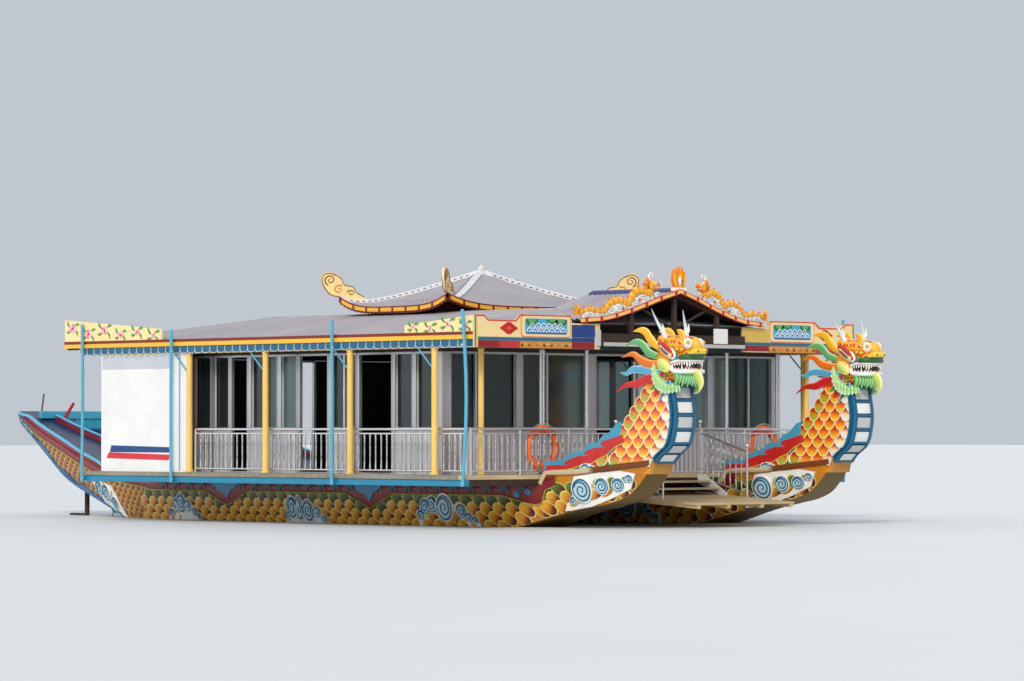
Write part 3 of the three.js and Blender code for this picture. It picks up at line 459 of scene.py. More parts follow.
def tile(shape, a, b, aim, reach, half, surface, tones, lift=0.03, limit=None):
    """One overlapping scale. aim is the way its free edge points, and tones run from rim to root."""
    rim, tip, middle, root = tones
    turned = right_handed(surface, a, b)

    def at(share, k, height):
        angle = TURN * k / TILE_STEPS
        s, w = share * cos(angle) * reach, share * sin(angle) * half
        u = a + s * cos(aim) - w * sin(aim)
        v = b + s * sin(aim) + w * cos(aim)
        if limit:
            u, v = limit(u, v)
        return surface(u, v, height * (0.62 + 0.38 * share * cos(angle)))

    def ring(share, height):
        return [at(share, k, height) for k in range(TILE_STEPS)]

    def band(points, faces, tints):
        shape.add(points, [f[::-1] for f in faces] if turned else faces, "relief", tints)

    def tone(share, k):
        along = share * cos(TURN * k / TILE_STEPS)
        if along > 0.1:
            return mixed(middle, tip, smooth_step(0.1, 0.6, along))
        return mixed(root, middle, smooth_step(-0.5, 0.1, along))

    steps, quads = range(TILE_STEPS), bands(2, TILE_STEPS)
    foot, edge, shoulder, crown = (ring(share, lift * rise) for share, rise in
                                   ((1.0, 0.0), (0.97, 1), (0.84, 1.05), (0.45, 1.25)))
    outer, inner = ([tone(share, k) for k in steps] for share in (0.84, 0.45))
    band(foot + edge, quads, [mixed(root, rim, 0.4)] * TILE_STEPS + [rim] * TILE_STEPS)
    band(edge + shoulder, quads, rim)
    band(shoulder + crown, quads, outer + inner)
    band(crown + [at(0.0, 0, lift * 1.35)], [(k, (k + 1) % TILE_STEPS, TILE_STEPS) for k in steps],
         inner + [tone(0.0, 0)])


GOLD_TONES = ((244, 222, 130), (238, 184, 36), (214, 134, 14), DARK_RED)
STERN_TONES = ((214, 168, 60), (206, 142, 22), (150, 84, 10), DARK_RED)
BRIGHT_TONES = (CREAM, YELLOW, ORANGE, RED)
GREEN_TONES = ((190, 190, 80), (104, 124, 30), (66, 78, 16), DARK_RED)
WHITE_TONES = (WHITE, WHITE, CREAM, RED)


def inlay(shape, outline, surface, base, height, tint, side_tint=None):
    """A flat painted figure that stands off a surface."""
    count = len(outline)
    if (loop_area(outline) < 0) != right_handed(surface, *outline[0]):
        outline = outline[::-1]
    points = [surface(a, b, rise) for rise in (base, height) for a, b in outline]
    shape.add(points, [[count + k for k in reversed(range(count))]], "relief", tint)
    walls = [((k + 1) % count, k, count + k, count + (k + 1) % count) for k in range(count)]
    shape.add(points, walls, "relief", side_tint or tint)


def oval(a, b, ra, rb, steps=16):
    return [(a + ra * cos(TURN * k / steps), b + rb * sin(TURN * k / steps)) for k in range(steps)]


def spiral(shape, a, b, ra, rb, surface, height, tint, turns=1.6, start=0.4, hand=1, width=0.013):
    steps = int(11 * turns) + 4
    path = []
    for k in range(steps + 1):
        share = k / steps
        reach = 0.86 - 0.74 * share
        angle = start + hand * TURN * turns * share
        path.append(surface(a + ra * reach * cos(angle), b + rb * reach * sin(angle), height))
    radii = [width * (1.0 - 0.45 * k / steps) for k in range(steps + 1)]
    shape.tube(path, radii, "relief", tint, sides=5, flat=0.7, start_up=Y_AXIS)


def cloud(shape, x, z, lobes, surface, ground, base=0.034):
    """White cloud of curled lobes. ground is the outline of the white panel under them."""
    inlay(shape, [(x + a, z + b) for a, b in ground], surface, 0.0, base, WHITE, PALE_GREY)
    for k, (a, b, ra, rb) in enumerate(lobes):
        height = base + 0.006 + 0.003 * k
        hand = 1 if a < 0 else -1
        inlay(shape, oval(x + a, z + b, ra * 1.12, rb * 1.12), surface, base - 0.02, height, WHITE)
        inlay(shape, oval(x + a, z + b, ra, rb), surface, height - 0.002, height + 0.004, TEAL)
        inlay(shape, oval(x + a, z + b, ra * 0.84, rb * 0.84), surface, height, height + 0.007, PALE_BLUE)
        spiral(shape, x + a, z + b, ra * 0.95, rb * 0.95, surface, height + 0.009, TEAL,
               turns=1.7 if ra > 0.09 else 1.1, hand=hand, start=pi * (0.5 - 0.4 * hand),
               width=0.011 + 0.03 * ra)


# Clouds on the hulls: place of the tallest curl, its curls (offset and radii) and the panel under them
CLOUDS = [
    (-1.94, -0.52, [(-0.57, -0.12, 0.08, 0.08), (-0.44, 0.01, 0.11, 0.12), (-0.27, 0.045, 0.115, 0.13),
                    (0.34, -0.045, 0.1, 0.11), (0.48, -0.14, 0.07, 0.07), (0.6, -0.175, 0.05, 0.05),
                    (0.0, 0.0, 0.16, 0.2)],
     [(-0.72, -0.42), (-0.6, -0.1), (-0.4, 0.05), (0.0, 0.1), (0.4, 0.0), (0.62, -0.18), (0.72, -0.42)]),
    (-5.48, -0.57, [(-0.315, -0.135, 0.07, 0.08), (0.44, -0.06, 0.08, 0.09), (0.59, -0.175, 0.07, 0.06),
                    (-0.186, 0.01, 0.13, 0.17), (0.22, -0.04, 0.13, 0.17), (0.0, 0.0, 0.09, 0.19)],
     [(-0.42, -0.37), (-0.36, -0.14), (-0.2, 0.05), (0.24, 0.05), (0.5, -0.05), (0.66, -0.2), (0.74, -0.37)]),
    (-8.6, -0.53, [(-0.33, -0.17, 0.07, 0.07), (0.425, -0.22, 0.05, 0.05), (0.33, -0.145, 0.06, 0.07),
                   (-0.16, -0.04, 0.08, 0.12), (0.165, -0.04, 0.08, 0.1), (0.0, 0.0, 0.11, 0.16)],
     [(-0.46, -0.42), (-0.38, -0.16), (-0.12, 0.06), (0.14, 0.06), (0.4, -0.14), (0.54, -0.42)]),
    (-10.86, -0.4, [(-0.28, 0.1, 0.12, 0.13), (0.16, -0.16, 0.1, 0.11), (-0.06, 0.02, 0.12, 0.14),
                     (0.02, -0.3, 0.07, 0.08)],
     [(-0.5, 0.2), (-0.2, -0.38), (0.16, -0.42), (0.42, -0.4), (0.16, 0.14)]),
    (0.78, -0.22, [(0.88, 0.17, 0.07, 0.06), (0.68, 0.08, 0.11, 0.1), (0.38, 0.06, 0.12, 0.12),
                    (-0.2, -0.16, 0.06, 0.06), (0.0, 0.0, 0.17, 0.17)],
     [(-0.42, -0.33), (-0.12, 0.2), (0.3, 0.25), (0.72, 0.29), (1.0, 0.25), (0.9, 0.02), (0.55, -0.12),
      (0.1, -0.27)]),
]
DIPS = ((-7.35, 0.24), (-3.7, 0.24), (-0.14, 0.14))  # where the red border hangs lower, and by how much
SCALE_PITCH, SCALE_ROWS, ROW_PITCH = 0.26, 5, 0.138
SCALES_AFT, STERN_START, STERN_DECK_END, LOWEST_SCALE = -13.7, -9.6, -9.9, -1.02
SCALE_AIM = radians(148)


def border_depth(x):
    """Depth of the red border under the sheer."""
    if x < STERN_START:
        return 0.12
    return 0.15 + sum(drop * max(0.0, 1 - abs(x - dip) / 0.58) for dip, drop in DIPS) * smooth_step(0.5, 0.2,
                                                                                                    x)


def wash_rise(x):
    """How far the plank along the stern stands above the sheer."""
    return 0.12 * smooth_step(-13.98, -13.5, x) * smooth_step(-10.35, -11.2, x)


def hull_skin(shape):
    stations = [-14 + 0.12 * k for k in range(117)] + [0.0, 0.03, 0.06]
    stations += [0.06 + 0.1 * k for k in range(1, 21)]
    levels = [k / 8 for k in range(9)]

    def section(i):
        x = stations[i]
        bottom, _, sheer, _ = hull_row(x)
        heights = [bottom + (sheer - bottom) * level for level in levels]
        right = [(x, hull_half(x, z), z) for z in heights]
        return right + [(px, -py, pz) for px, py, pz in reversed(right)]

    count = 2 * len(levels)
    points = [p for i in range(len(stations)) for p in section(i)]
    sides, bottoms, fore_decks, stern_decks = [], [], [], []
    for n, (a, b, c, d) in enumerate(bands(len(stations), count)):
        i, k = divmod(n, count)
        if k == count - 1:
            group = bottoms
        elif k == len(levels) - 1:
            group = stern_decks if stations[i] < STERN_DECK_END else fore_decks
        else:
            group = sides
        group.append((a, d, c, b))
    last = (len(stations) - 1) * count
    shape.add(points, sides, "hull", (206, 128, 18))
    shape.add(points, bottoms + [[last + k for k in reversed(range(count))]], "hull", OLIVE)
    shape.add(points, fore_decks, "hull", (150, 92, 40))
    shape.add(points, stern_decks + [list(range(count))], "hull", (12, 52, 92))


def hull_side(shape, face):
    surface = hull_surface(face)

    def scale_rows(rows, columns, start, pitch, drop, row_pitch, tones_at, reach, half, lift):
        """Staggered rows that follow the sheer, from the bow aft so that each scale lies over the next."""
        for row in reversed(range(rows)):
            for column in range(columns):
                x = start + column * pitch + (row % 2) * pitch / 2
                z = sheer_at(x) - drop - row * row_pitch
                tones = tones_at(x, z)
                if tones:
                    tile(shape, x, z, SCALE_AIM, reach, half, surface, tones, lift=lift,
                         limit=lambda u, v: (u, max(v, keel_at(u) + 0.01)))

    def gold_tones(x, z):
        border = sheer_at(x) - border_depth(x)
        if -9.7 < x < 1.75 and max(keel_at(x) + 0.04, LOWEST_SCALE) <= z <= border + 0.02:
            return GREEN_TONES if z > border - 0.1 else GOLD_TONES

    def stern_tones(x, z):
        return STERN_TONES if x <= STERN_START and z >= max(keel_at(x) + 0.1, LOWEST_SCALE) else None

    def line(xs, height_at, out, radius, tint, sides=6):
        shape.tube([surface(x, height_at(x), out) for x in xs], radius, "relief", tint, sides=sides,
                   start_up=Y_AXIS)

    def strip(xs, low_at, high_at, base, height, tint):
        inlay(shape, [(x, low_at(x)) for x in xs] + [(x, high_at(x)) for x in reversed(xs)], surface, base,
              height, tint)

    scale_rows(SCALE_ROWS, int((2.0 - SCALES_AFT) / SCALE_PITCH), SCALES_AFT, SCALE_PITCH, 0.24, ROW_PITCH,
               gold_tones, 0.15, 0.115, 0.026)
    scale_rows(11, 25, -13.5, 0.165, 0.17, 0.092, stern_tones, 0.1, 0.078, 0.02)

    # Red border under the deck with dark teeth and hanging blue points
    stops = spans(-13.9, 0.3, 142)
    lower = [sheer_at(x) - border_depth(x) for x in stops]

    def border_point(i, j):
        x, share = stops[i], j / 3
        top = sheer_at(x) - 0.005
        return surface(x, top + (lower[i] - top) * share, 0.042 if 0 < j < 3 else 0.03)

    shape.grid(len(stops), 4, lambda i, j: border_point(i if face < 0 else len(stops) - 1 - i, j), "relief",
               lambda i, j: DEEP_RED)
    edge = [surface(x, z, 0.04) for x, z in zip(stops, lower)]
    shape.tube(edge, 0.009, "relief", (170, 176, 60), sides=5, start_up=Y_AXIS)
    for k in range(26):
        x = -9.2 + 0.35 * k
        top = sheer_at(x) - 0.01
        inlay(shape, [(x, top), (x + 0.2, top), (x + 0.26, top - 0.1), (x + 0.16, top - 0.05),
                      (x + 0.12, top - 0.12), (x + 0.04, top - 0.05)], surface, 0.03, 0.052, (30, 50, 84))
    for dip, _ in DIPS[:2]:
        top = sheer_at(dip) - 0.01
        inlay(shape, [(dip - 0.36, top), (dip + 0.36, top), (dip + 0.22, top - 0.1), (dip + 0.14, top - 0.12),
                      (dip + 0.02, top - 0.26), (dip - 0.08, top - 0.16), (dip - 0.24, top - 0.12)],
              surface, 0.03, 0.058, BLUE)
    for a, b in ((-0.42, -0.3), (-0.2, -0.26)):
        inlay(shape, oval(a, b, 0.06, 0.045, 10), surface, 0.03, 0.056, BLUE)

    # Along the stern: a plank under a pale gunwale raises the edge, with a blue tip and a teal lower edge
    line(spans(-13.95, -9.5, 40), lambda x: sheer_at(x) - 0.02 + wash_rise(x), 0.015, 0.028, SKY)
    strip(spans(-13.93, -10.4, 36), lambda x: sheer_at(x) - 0.04,
          lambda x: sheer_at(x) - 0.015 + wash_rise(x), -0.03, 0.012, (150, 28, 44))
    line(spans(-13.95, -10.6, 30), lambda x: keel_at(x) + 0.03, 0.01, 0.04, TEAL)
    strip(spans(-13.6, -11.2, 36), lambda x: keel_at(x) + 0.01,
          lambda x: keel_at(x) + 0.1 + 0.028 * sin(9.5 * x), 0.0, 0.034, (16, 104, 156))
    strip(spans(-13.97, -13.42, 6), lambda x: keel_at(x) + 0.01, lambda x: sheer_at(x) - 0.03, 0.0, 0.046,
          (24, 66, 108))
    for x, drop, size in ((-13.82, 0.09, 0.05), (-13.68, 0.13, 0.07), (-13.52, 0.19, 0.085)):
        spiral(shape, x, sheer_at(x) - drop, size, size * 0.8, surface, 0.05, SKY, turns=1.2, width=0.009)

    # Brown rail along the fore deck's edge
    fore = spans(0.02, 2.04, 20)
    line(fore, lambda x: sheer_at(x) + (0.02 if x > 0.05 else 0.0), 0.012, 0.045,
         [(206, 190, 150) if x < 0.98 else BROWN for x in fore], sides=8)

    for x, z, lobes, ground in CLOUDS:
        ground = [(a, max(b, keel_at(x + a) + 0.01 - z)) for a, b in ground]
        cloud(shape, x, z, lobes, surface, ground)


# Necks with their flame bulwarks
NECK = [  # height, x of the back and the front, half-width at the back and at the front
    (0.02, 1.27, 2.06, 0.35, 0.232),
    (0.18, 1.275, 2.1, 0.336, 0.23),
    (0.31, 1.285, 2.21, 0.325, 0.23),
    (0.46, 1.31, 2.42, 0.3, 0.23),
    (0.7, 1.39, 2.505, 0.262, 0.23),
    (0.9, 1.56, 2.53, 0.236, 0.23),
    (1.14, 1.78, 2.5, 0.23, 0.23),
    (1.3, 1.83, 2.47, 0.224, 0.224),
    (1.4, 1.84, 2.45, 0.22, 0.22),
]
BULWARK = [  # x, half-width at the foot, height of the top, half-width at the top
    (0.07, 0.575, 0.2, 0.56),
    (0.7, 0.462, 0.44, 0.43),
    (1.27, 0.366, 0.655, 0.3),
    (1.4, 0.33, 0.7, 0.255),
    (1.62, 0.296, 0.7, 0.24),
    (1.88, 0.25, 0.6, 0.23),
    (2.06, 0.228, 0.3, 0.228),
]


def bulwark_half(x, z):
    foot, top, top_half = row_at(BULWARK, x)
    sheer = sheer_at(min(x, HULL_TIP))
    return foot + (top_half - foot) * min(1.0, max(0.0, (z - sheer) / (top - sheer)))


def neck_half(x, z):
    back, front, back_half, front_half = row_at(NECK, z)
    if x < back:
        return bulwark_half(x, z)
    share = min(1.0, (x - back) / (front - back))
    return back_half + (front_half - back_half) * share


CREST = [(0.07, 0.06), (0.07, 0.2), (0.24, 0.215), (0.42, 0.225), (0.5, 0.3), (0.67, 0.36), (0.76, 0.37),
         (0.83, 0.45), (0.95, 0.49), (1.05, 0.5), (1.12, 0.6), (1.24, 0.65), (1.36, 0.79), (1.44, 0.82),
         (1.45, 0.7)]
FLAME_LINE = [(1.5, 0.62), (1.3, 0.56), (1.14, 0.52), (1.1, 0.47), (1.2, 0.43), (1.02, 0.42), (0.86, 0.38),
              (0.8, 0.32), (0.92, 0.3), (0.7, 0.29), (0.5, 0.22), (0.44, 0.17), (0.6, 0.15), (0.34, 0.15)]
SCALE_LINE = [(1.56, 0.5), (1.36, 0.42), (1.23, 0.3), (1.1, 0.25), (0.98, 0.18), (0.8, 0.15), (0.62, 0.1),
              (0.45, 0.07), (0.2, 0.06)]


def neck_core(shape):
    heights = [0.02 + 1.39 * k / 24 for k in range(25)]
    points, faces_side, faces_front, faces_back = [], [], [], []
    for z in heights:
        back, front, back_half, front_half = row_at(NECK, z)
        loop = [(back, back_half * 0.55), (back + 0.05, back_half),
                ((back + front) / 2, (back_half + front_half) / 2),
                (front - 0.035, front_half), (front, front_half - 0.03), (front + 0.012, 0.0)]
        loop = [(x, -y) for x, y in loop] + [(x, y) for x, y in reversed(loop[:-1])]
        points += [(x, y, z) for x, y in loop]
    count = len(points) // len(heights)
    for n, quad in enumerate(bands(len(heights), count)):
        k = n % count
        group = faces_back if k in (0, count - 2, count - 1) else faces_front if 3 <= k <= 6 else faces_side
        group.append(quad)
    shape.add(points, faces_side, "relief", (232, 140, 16))
    shape.add(points, faces_front, "relief", [TEAL if p[2] > 0.2 else (186, 128, 30) for p in points])
    shape.add(points, faces_back + caps(len(heights), count), "relief", (196, 60, 20))
    for face in (1, -1):
        for k in range(24):
            z0, z1 = heights[k], heights[k + 1]
            if z0 < 0.2:
                continue
            low, high = curve_at(NECK, 2, z0), curve_at(NECK, 2, z1)
            inlay(shape, [(low - 0.012, z0), (high - 0.012, z1), (high - 0.038, z1), (low - 0.038, z0)],
                  flat_surface(neck_half, face), 0.0, 0.045, TEAL)


def belly_plates(shape):
    """Pale squares between the teal bars of the belly."""
    line = [(curve_at(NECK, 2, 0.2 + 0.01 * k), 0.2 + 0.01 * k) for k in range(116)]
    lengths = [0.0]
    for (x0, z0), (x1, z1) in zip(line, line[1:]):
        lengths.append(lengths[-1] + hypot(x1 - x0, z1 - z0))
    plates, bar = 6, 0.062
    pitch = lengths[-1] / plates

    def on_line(distance):
        k = min(len(line) - 2,
                max(0, next((n for n, s in enumerate(lengths) if s > distance), len(line)) - 1))
        share = (distance - lengths[k]) / max(1e-6, lengths[k + 1] - lengths[k])
        (x0, z0), (x1, z1) = line[k], line[k + 1]
        return x0 + (x1 - x0) * share, z0 + (z1 - z0) * share, (z1 - z0), -(x1 - x0)

    for k in range(plates):
        start, end = k * pitch + bar / 2, (k + 1) * pitch - bar / 2
        rows = []
        for step in range(4):
            x, z, nx, nz = on_line(start + (end - start) * step / 3)
            length = hypot(nx, nz)
            rows.append((x + nx / length * 0.03, z + nz / length * 0.03))
        tint = (WHITE, PALE_GREY)[k % 2]
        shape.grid(4, 3, lambda i, j: (rows[i][0] - 0.012 * abs(j - 1), 0.165 * (1 - j), rows[i][1]),
                   "relief", lambda i, j: tint)
        for y in (0.168, -0.168):
            shape.tube([(x, y, z) for x, z in rows], 0.012, "relief", TEAL, sides=6)
    for k in range(plates + 1):
        x, z, nx, nz = on_line(min(lengths[-1] - 0.001, k * pitch))
        shape.tube([(x + 0.005, -0.2, z), (x + 0.02, 0.0, z), (x + 0.005, 0.2, z)], bar / 2, "relief", TEAL,
                   sides=8, flat=0.8)
    for y in (0.198, -0.198):
        shape.tube([(x + 0.006, y, z) for x, z in line[::6]], 0.032, "relief", TEAL, sides=8)


def neck_side(shape, face):
    surface = flat_surface(neck_half, face)
    pitch, rise = 0.225, 0.139
    for row in range(10):
        z = 1.36 - row * rise
        for column in range(12):
            x = 2.5 - column * pitch - (row % 2) * pitch / 2
            back = curve_at(NECK, 1, z) + 0.05
            front = curve_at(NECK, 2, z) - 0.06
            if z < 0.5:
                floor_x = 0.1 if z < 0.1 else 1.0 + (z - 0.2) * 1.6
                back = min(back, floor_x)
            if x < back or x > front + 0.06:
                continue
            if z < 0.62 and z > curve_at(sorted(SCALE_LINE), 1, x) and x < 1.56:
                continue
            if z < sheer_at(min(x, HULL_TIP)) + 0.03 and x > 0.2:
                continue
            tones = BRIGHT_TONES
            if x > front - 0.12:
                tones = WHITE_TONES
            elif x < back + 0.16 or (z < 0.36 and x < 1.5):
                tones = (CREAM, (160, 190, 50), (210, 150, 20), RED)
            tile(shape, x, z, radians(-98), 0.125, 0.112, surface, tones, lift=0.024,
                 limit=lambda u, v: (min(u, curve_at(NECK, 2, v) - 0.04), v))

    # Flame crest: blue above and red below, with a pale line along its foot
    inlay(shape, CREST + FLAME_LINE + [(0.2, 0.1)], surface, 0.0, 0.018, (52, 150, 180))
    inlay(shape, [(1.5, 0.62)] + FLAME_LINE[1:] + [(0.12, 0.14), (0.1, 0.06)] + SCALE_LINE[::-1], surface,
          0.0, 0.026, RED)
    path = [surface(x, z, 0.022) for x, z in SCALE_LINE]
    shape.tube(path, 0.009, "relief", (206, 214, 90), sides=5, start_up=Y_AXIS)
    # A small cloud where the neck meets the rail
    cloud(shape, 0.86, 0.1, [(0.0, 0.0, 0.085, 0.07), (0.12, -0.01, 0.05, 0.05)], surface,
          [(-0.13, -0.05), (-0.09, 0.06), (0.02, 0.08), (0.16, 0.04), (0.2, -0.02)], base=0.03)


def bulwark_plate(shape):
    tops = [p for p in CREST if p[1] >= 0.2]
    outline = [(0.07, 0.01)] + tops + [(1.5, 0.6), (1.5, 0.15)]
    for face in (1, -1):
        surface = flat_surface(bulwark_half, face)
        inlay(shape, outline, surface, -0.06, 0.0, (60, 140, 170))


def make_pair(shape, name, node, slot):
    """Two objects from one shape, one over each hull."""
    for side_name, side in SIDES:
        shape.shift = side * HULL_OFFSET
        shape.make(name + "_" + side_name, node + "_" + side_name, slot)


hull = Shape()
hull_skin(hull)
for face in (1, -1):
    hull_side(hull, face)
make_pair(hull, "painted_hull", "hull", "hull_paint")

neck = Shape()
neck_core(neck)
bulwark_plate(neck)
belly_plates(neck)
for face in (1, -1):
    neck_side(neck, face)
make_pair(neck, "painted_neck", "neck", "hull_paint")


# Dragon heads: a skull grown from overlapping lobes, then lips, teeth, eyes, horns, mane and beard
LOBES = [  # x, y (both sides where it isn't 0), z and the radii
    (2.36, 0.0, 1.88, 0.3, 0.245, 0.24),
    (2.18, 0.0, 1.72, 0.2, 0.235, 0.27),
    (2.32, 0.11, 1.66, 0.13, 0.14, 0.17),
    (2.2, 0.0, 1.5, 0.27, 0.215, 0.16),
    (2.5, 0.165, 1.99, 0.22, 0.115, 0.115),
    (2.31, 0.185, 2.05, 0.13, 0.1, 0.09),
    (2.62, 0.0, 1.85, 0.22, 0.17, 0.11),
    (2.75, 0.0, 1.82, 0.18, 0.19, 0.08),
    (2.87, 0.0, 1.85, 0.09, 0.15, 0.075),
    (2.92, 0.085, 1.87, 0.055, 0.06, 0.052),
    (2.66, 0.0, 1.77, 0.22, 0.215, 0.045),
    (2.5, 0.0, 1.535, 0.3, 0.19, 0.07),
    (2.74, 0.0, 1.535, 0.12, 0.19, 0.055),
    (2.42, 0.0, 1.5, 0.22, 0.18, 0.1),
]
HEAD_VOXEL, BROW_X = 0.013, 2.66


def spotted(u, v, pitch, radius):
    """Whether a point lies in a spot of a staggered field."""
    row = round(v / pitch)
    u = u - (row % 2) * pitch / 2
    column = round(u / pitch)
    shift = 0.18 * pitch * sin(7.3 * row + 3.1 * column)
    return hypot(u - column * pitch - shift, v - row * pitch) < radius


def head_tint(x, y, z):
    if z < 1.64 and x > 2.28:
        if x > 2.56:
            return (112, 178, 104)
        dark = spotted(x, 0.2 * atan2(1.62 - z, abs(y)), 0.058, 0.018)
        return (110, 48, 10) if dark else (244, 160, 30)
    if x > 2.78 and z > 1.83:
        return YELLOW
    if z < 1.83 and x > 2.5:
        return BROW_GREEN if x > BROW_X else TEAL
    if x > 2.24 and z > 1.83:
        around = 0.24 * atan2(z - 1.84, abs(y))
        return (190, 70, 14) if spotted(x, around, 0.07, 0.021) else (250, 172, 30)
    if x < 2.2:
        return mixed((214, 120, 20), (120, 40, 16), smooth_step(2.2, 2.0, x))
    return (240, 150, 22)


def snout_x(x):
    """Lobes and lips ahead of the eyes lie a little closer in than their round figures."""
    return x if x < 2.5 else 2.5 + 0.86 * (x - 2.5)


def sculpt(shape, lobes, voxel, tint_at):
    """Melts the lobes into one skin and adds it to the shape."""
    rough_form = Shape()
    for x, y, z, rx, ry, rz in lobes:
        for side in ((1, -1) if y else (1,)):
            rough_form.ball((x, side * y, z), (rx, ry, rz), "relief", rings=16, sides=24)
    mesh = bpy.data.meshes.new("lobes")
    mesh.from_pydata(rough_form.points, [], rough_form.faces)
    lump = bpy.data.objects.new("lobes", mesh)
    bpy.context.scene.collection.objects.link(lump)
    melt = lump.modifiers.new("melt", "REMESH")
    melt.mode, melt.voxel_size = "VOXEL", voxel
    calm = lump.modifiers.new("calm", "SMOOTH")
    calm.factor, calm.iterations = 0.5, 5
    melted = lump.evaluated_get(bpy.context.evaluated_depsgraph_get()).to_mesh()
    points = [tuple(v.co) for v in melted.vertices]
    faces = [tuple(p.vertices) for p in melted.polygons]
    lump.to_mesh_clear()
    bpy.data.objects.remove(lump)
    bpy.data.meshes.remove(mesh)
    shape.add(points, faces, "relief", [tint_at(*p) for p in points])


def leaf(shape, path, width, thick, tones, groove=0.0, sides=14):
    """A flame: its widest part lies a third along, with a dark groove down each face."""
    edge, belly, line = tones
    tints, points, steps = [], [], 14
    fine = smooth_line(path, steps)
    for i, p in enumerate(fine):
        share = i / steps
        ahead = (fine[min(i + 1, steps)] - fine[max(i - 1, 0)]).normalized()
        across = Vector((0, 1, 0)).cross(ahead).normalized()
        out = ahead.cross(across)
        half = width * (0.62 + 1.4 * share * (1 - share)) * (1 - share ** 3) + 0.004
        deep = thick * (1 - 0.75 * share)
        for k in range(sides):
            angle = TURN * k / sides
            v = cos(angle)
            dent = 1 - 0.45 * exp(-((v - groove) / 0.2) ** 2)
            points.append(tuple(p + across * v * half + out * sin(angle) * deep * dent))
            near_line = abs(v - groove) < 0.16 and share < 0.9
            tints.append(line if near_line else edge if abs(v) > 0.8 else belly)
    shape.add(points, bands(steps + 1, sides) + caps(steps + 1, sides), "relief", tints)


def smooth_path(path, share):
    """Point at a share of a smooth curve through the points."""
    spot = share * (len(path) - 1)
    i = min(int(spot), len(path) - 2)
    t = spot - i
    a, b, c, d = (path[min(max(i + k, 0), len(path) - 1)] for k in (-1, 0, 1, 2))
    return 0.5 * ((2 * b) + (c - a) * t + (2 * a - 5 * b + 4 * c - d) * t * t
                  + (3 * b - 3 * c + d - a) * t ** 3)


def smooth_line(points, steps):
    path = [Vector(p) for p in points]
    return [smooth_path(path, k / steps) for k in range(steps + 1)]


def lens(shape, centre, radii, angle, tint):
    """An ellipsoid turned in the x-z plane."""
    start = len(shape.points)
    shape.ball((0, 0, 0), radii, "relief", tint, sides=18)
    c, s = cos(angle), sin(angle)
    for k in range(start, len(shape.points)):
        x, y, z = shape.points[k]
        shape.points[k] = (centre[0] + x * c - z * s, centre[1] + y, centre[2] + x * s + z * c)


FLAMES = [  # points from root to tip, half-width, edge, belly and groove colours
    ([(2.24, 1.93), (2.08, 2.03), (1.98, 2.16), (1.86, 2.2), (1.72, 2.18)], 0.075,
     ((255, 226, 90), (250, 180, 20), (150, 90, 10))),
    ([(2.2, 1.8), (2.02, 1.86), (1.88, 1.99), (1.72, 2.02), (1.56, 1.97)], 0.07,
     ((190, 226, 170), (92, 176, 104), (20, 90, 50))),
    ([(2.26, 1.68), (2.06, 1.68), (1.88, 1.73), (1.7, 1.84), (1.47, 1.79)], 0.074,
     ((250, 190, 60), (240, 110, 14), (150, 50, 6))),
    ([(2.26, 1.56), (2.06, 1.57), (1.88, 1.6), (1.68, 1.6), (1.56, 1.54), (1.43, 1.56)], 0.066,
     ((190, 226, 234), (76, 170, 206), (10, 90, 130))),
    ([(2.3, 1.5), (2.14, 1.48), (1.95, 1.45), (1.76, 1.38), (1.55, 1.37), (1.35, 1.26)], 0.075,
     ((236, 90, 60), (206, 24, 24), (110, 6, 10))),
]
DRAPES = [
    ([(2.34, 1.46), (2.3, 1.34), (2.2, 1.26), (2.12, 1.16)], 0.05,
     ((236, 90, 60), (206, 24, 24), (120, 8, 12))),
    ([(2.2, 1.42), (2.14, 1.34), (2.04, 1.3)], 0.036, ((150, 210, 140), (60, 150, 70), (20, 90, 50))),
    ([(2.46, 1.44), (2.42, 1.3), (2.3, 1.2), (2.22, 1.1)], 0.036,
     ((160, 214, 230), (30, 130, 180), (8, 80, 120))),
]
UPPER_LIP = [(2.45, 0.2, 1.7), (2.6, 0.222, 1.728), (2.74, 0.205, 1.732), (2.84, 0.13, 1.732),
             (2.865, 0.0, 1.732)]
LOWER_LIP = [(2.43, 0.195, 1.64), (2.5, 0.212, 1.58), (2.64, 0.215, 1.566), (2.78, 0.185, 1.566),
             (2.845, 0.1, 1.566), (2.86, 0.0, 1.566)]


def both_ways(path):
    path = [(snout_x(x), y, z) for x, y, z in path]
    return path + [(x, -y, z) for x, y, z in reversed(path[:-1])]


BROW_GREEN, GUM, TOOTH = (30, 96, 46), (222, 160, 150), (250, 250, 244)


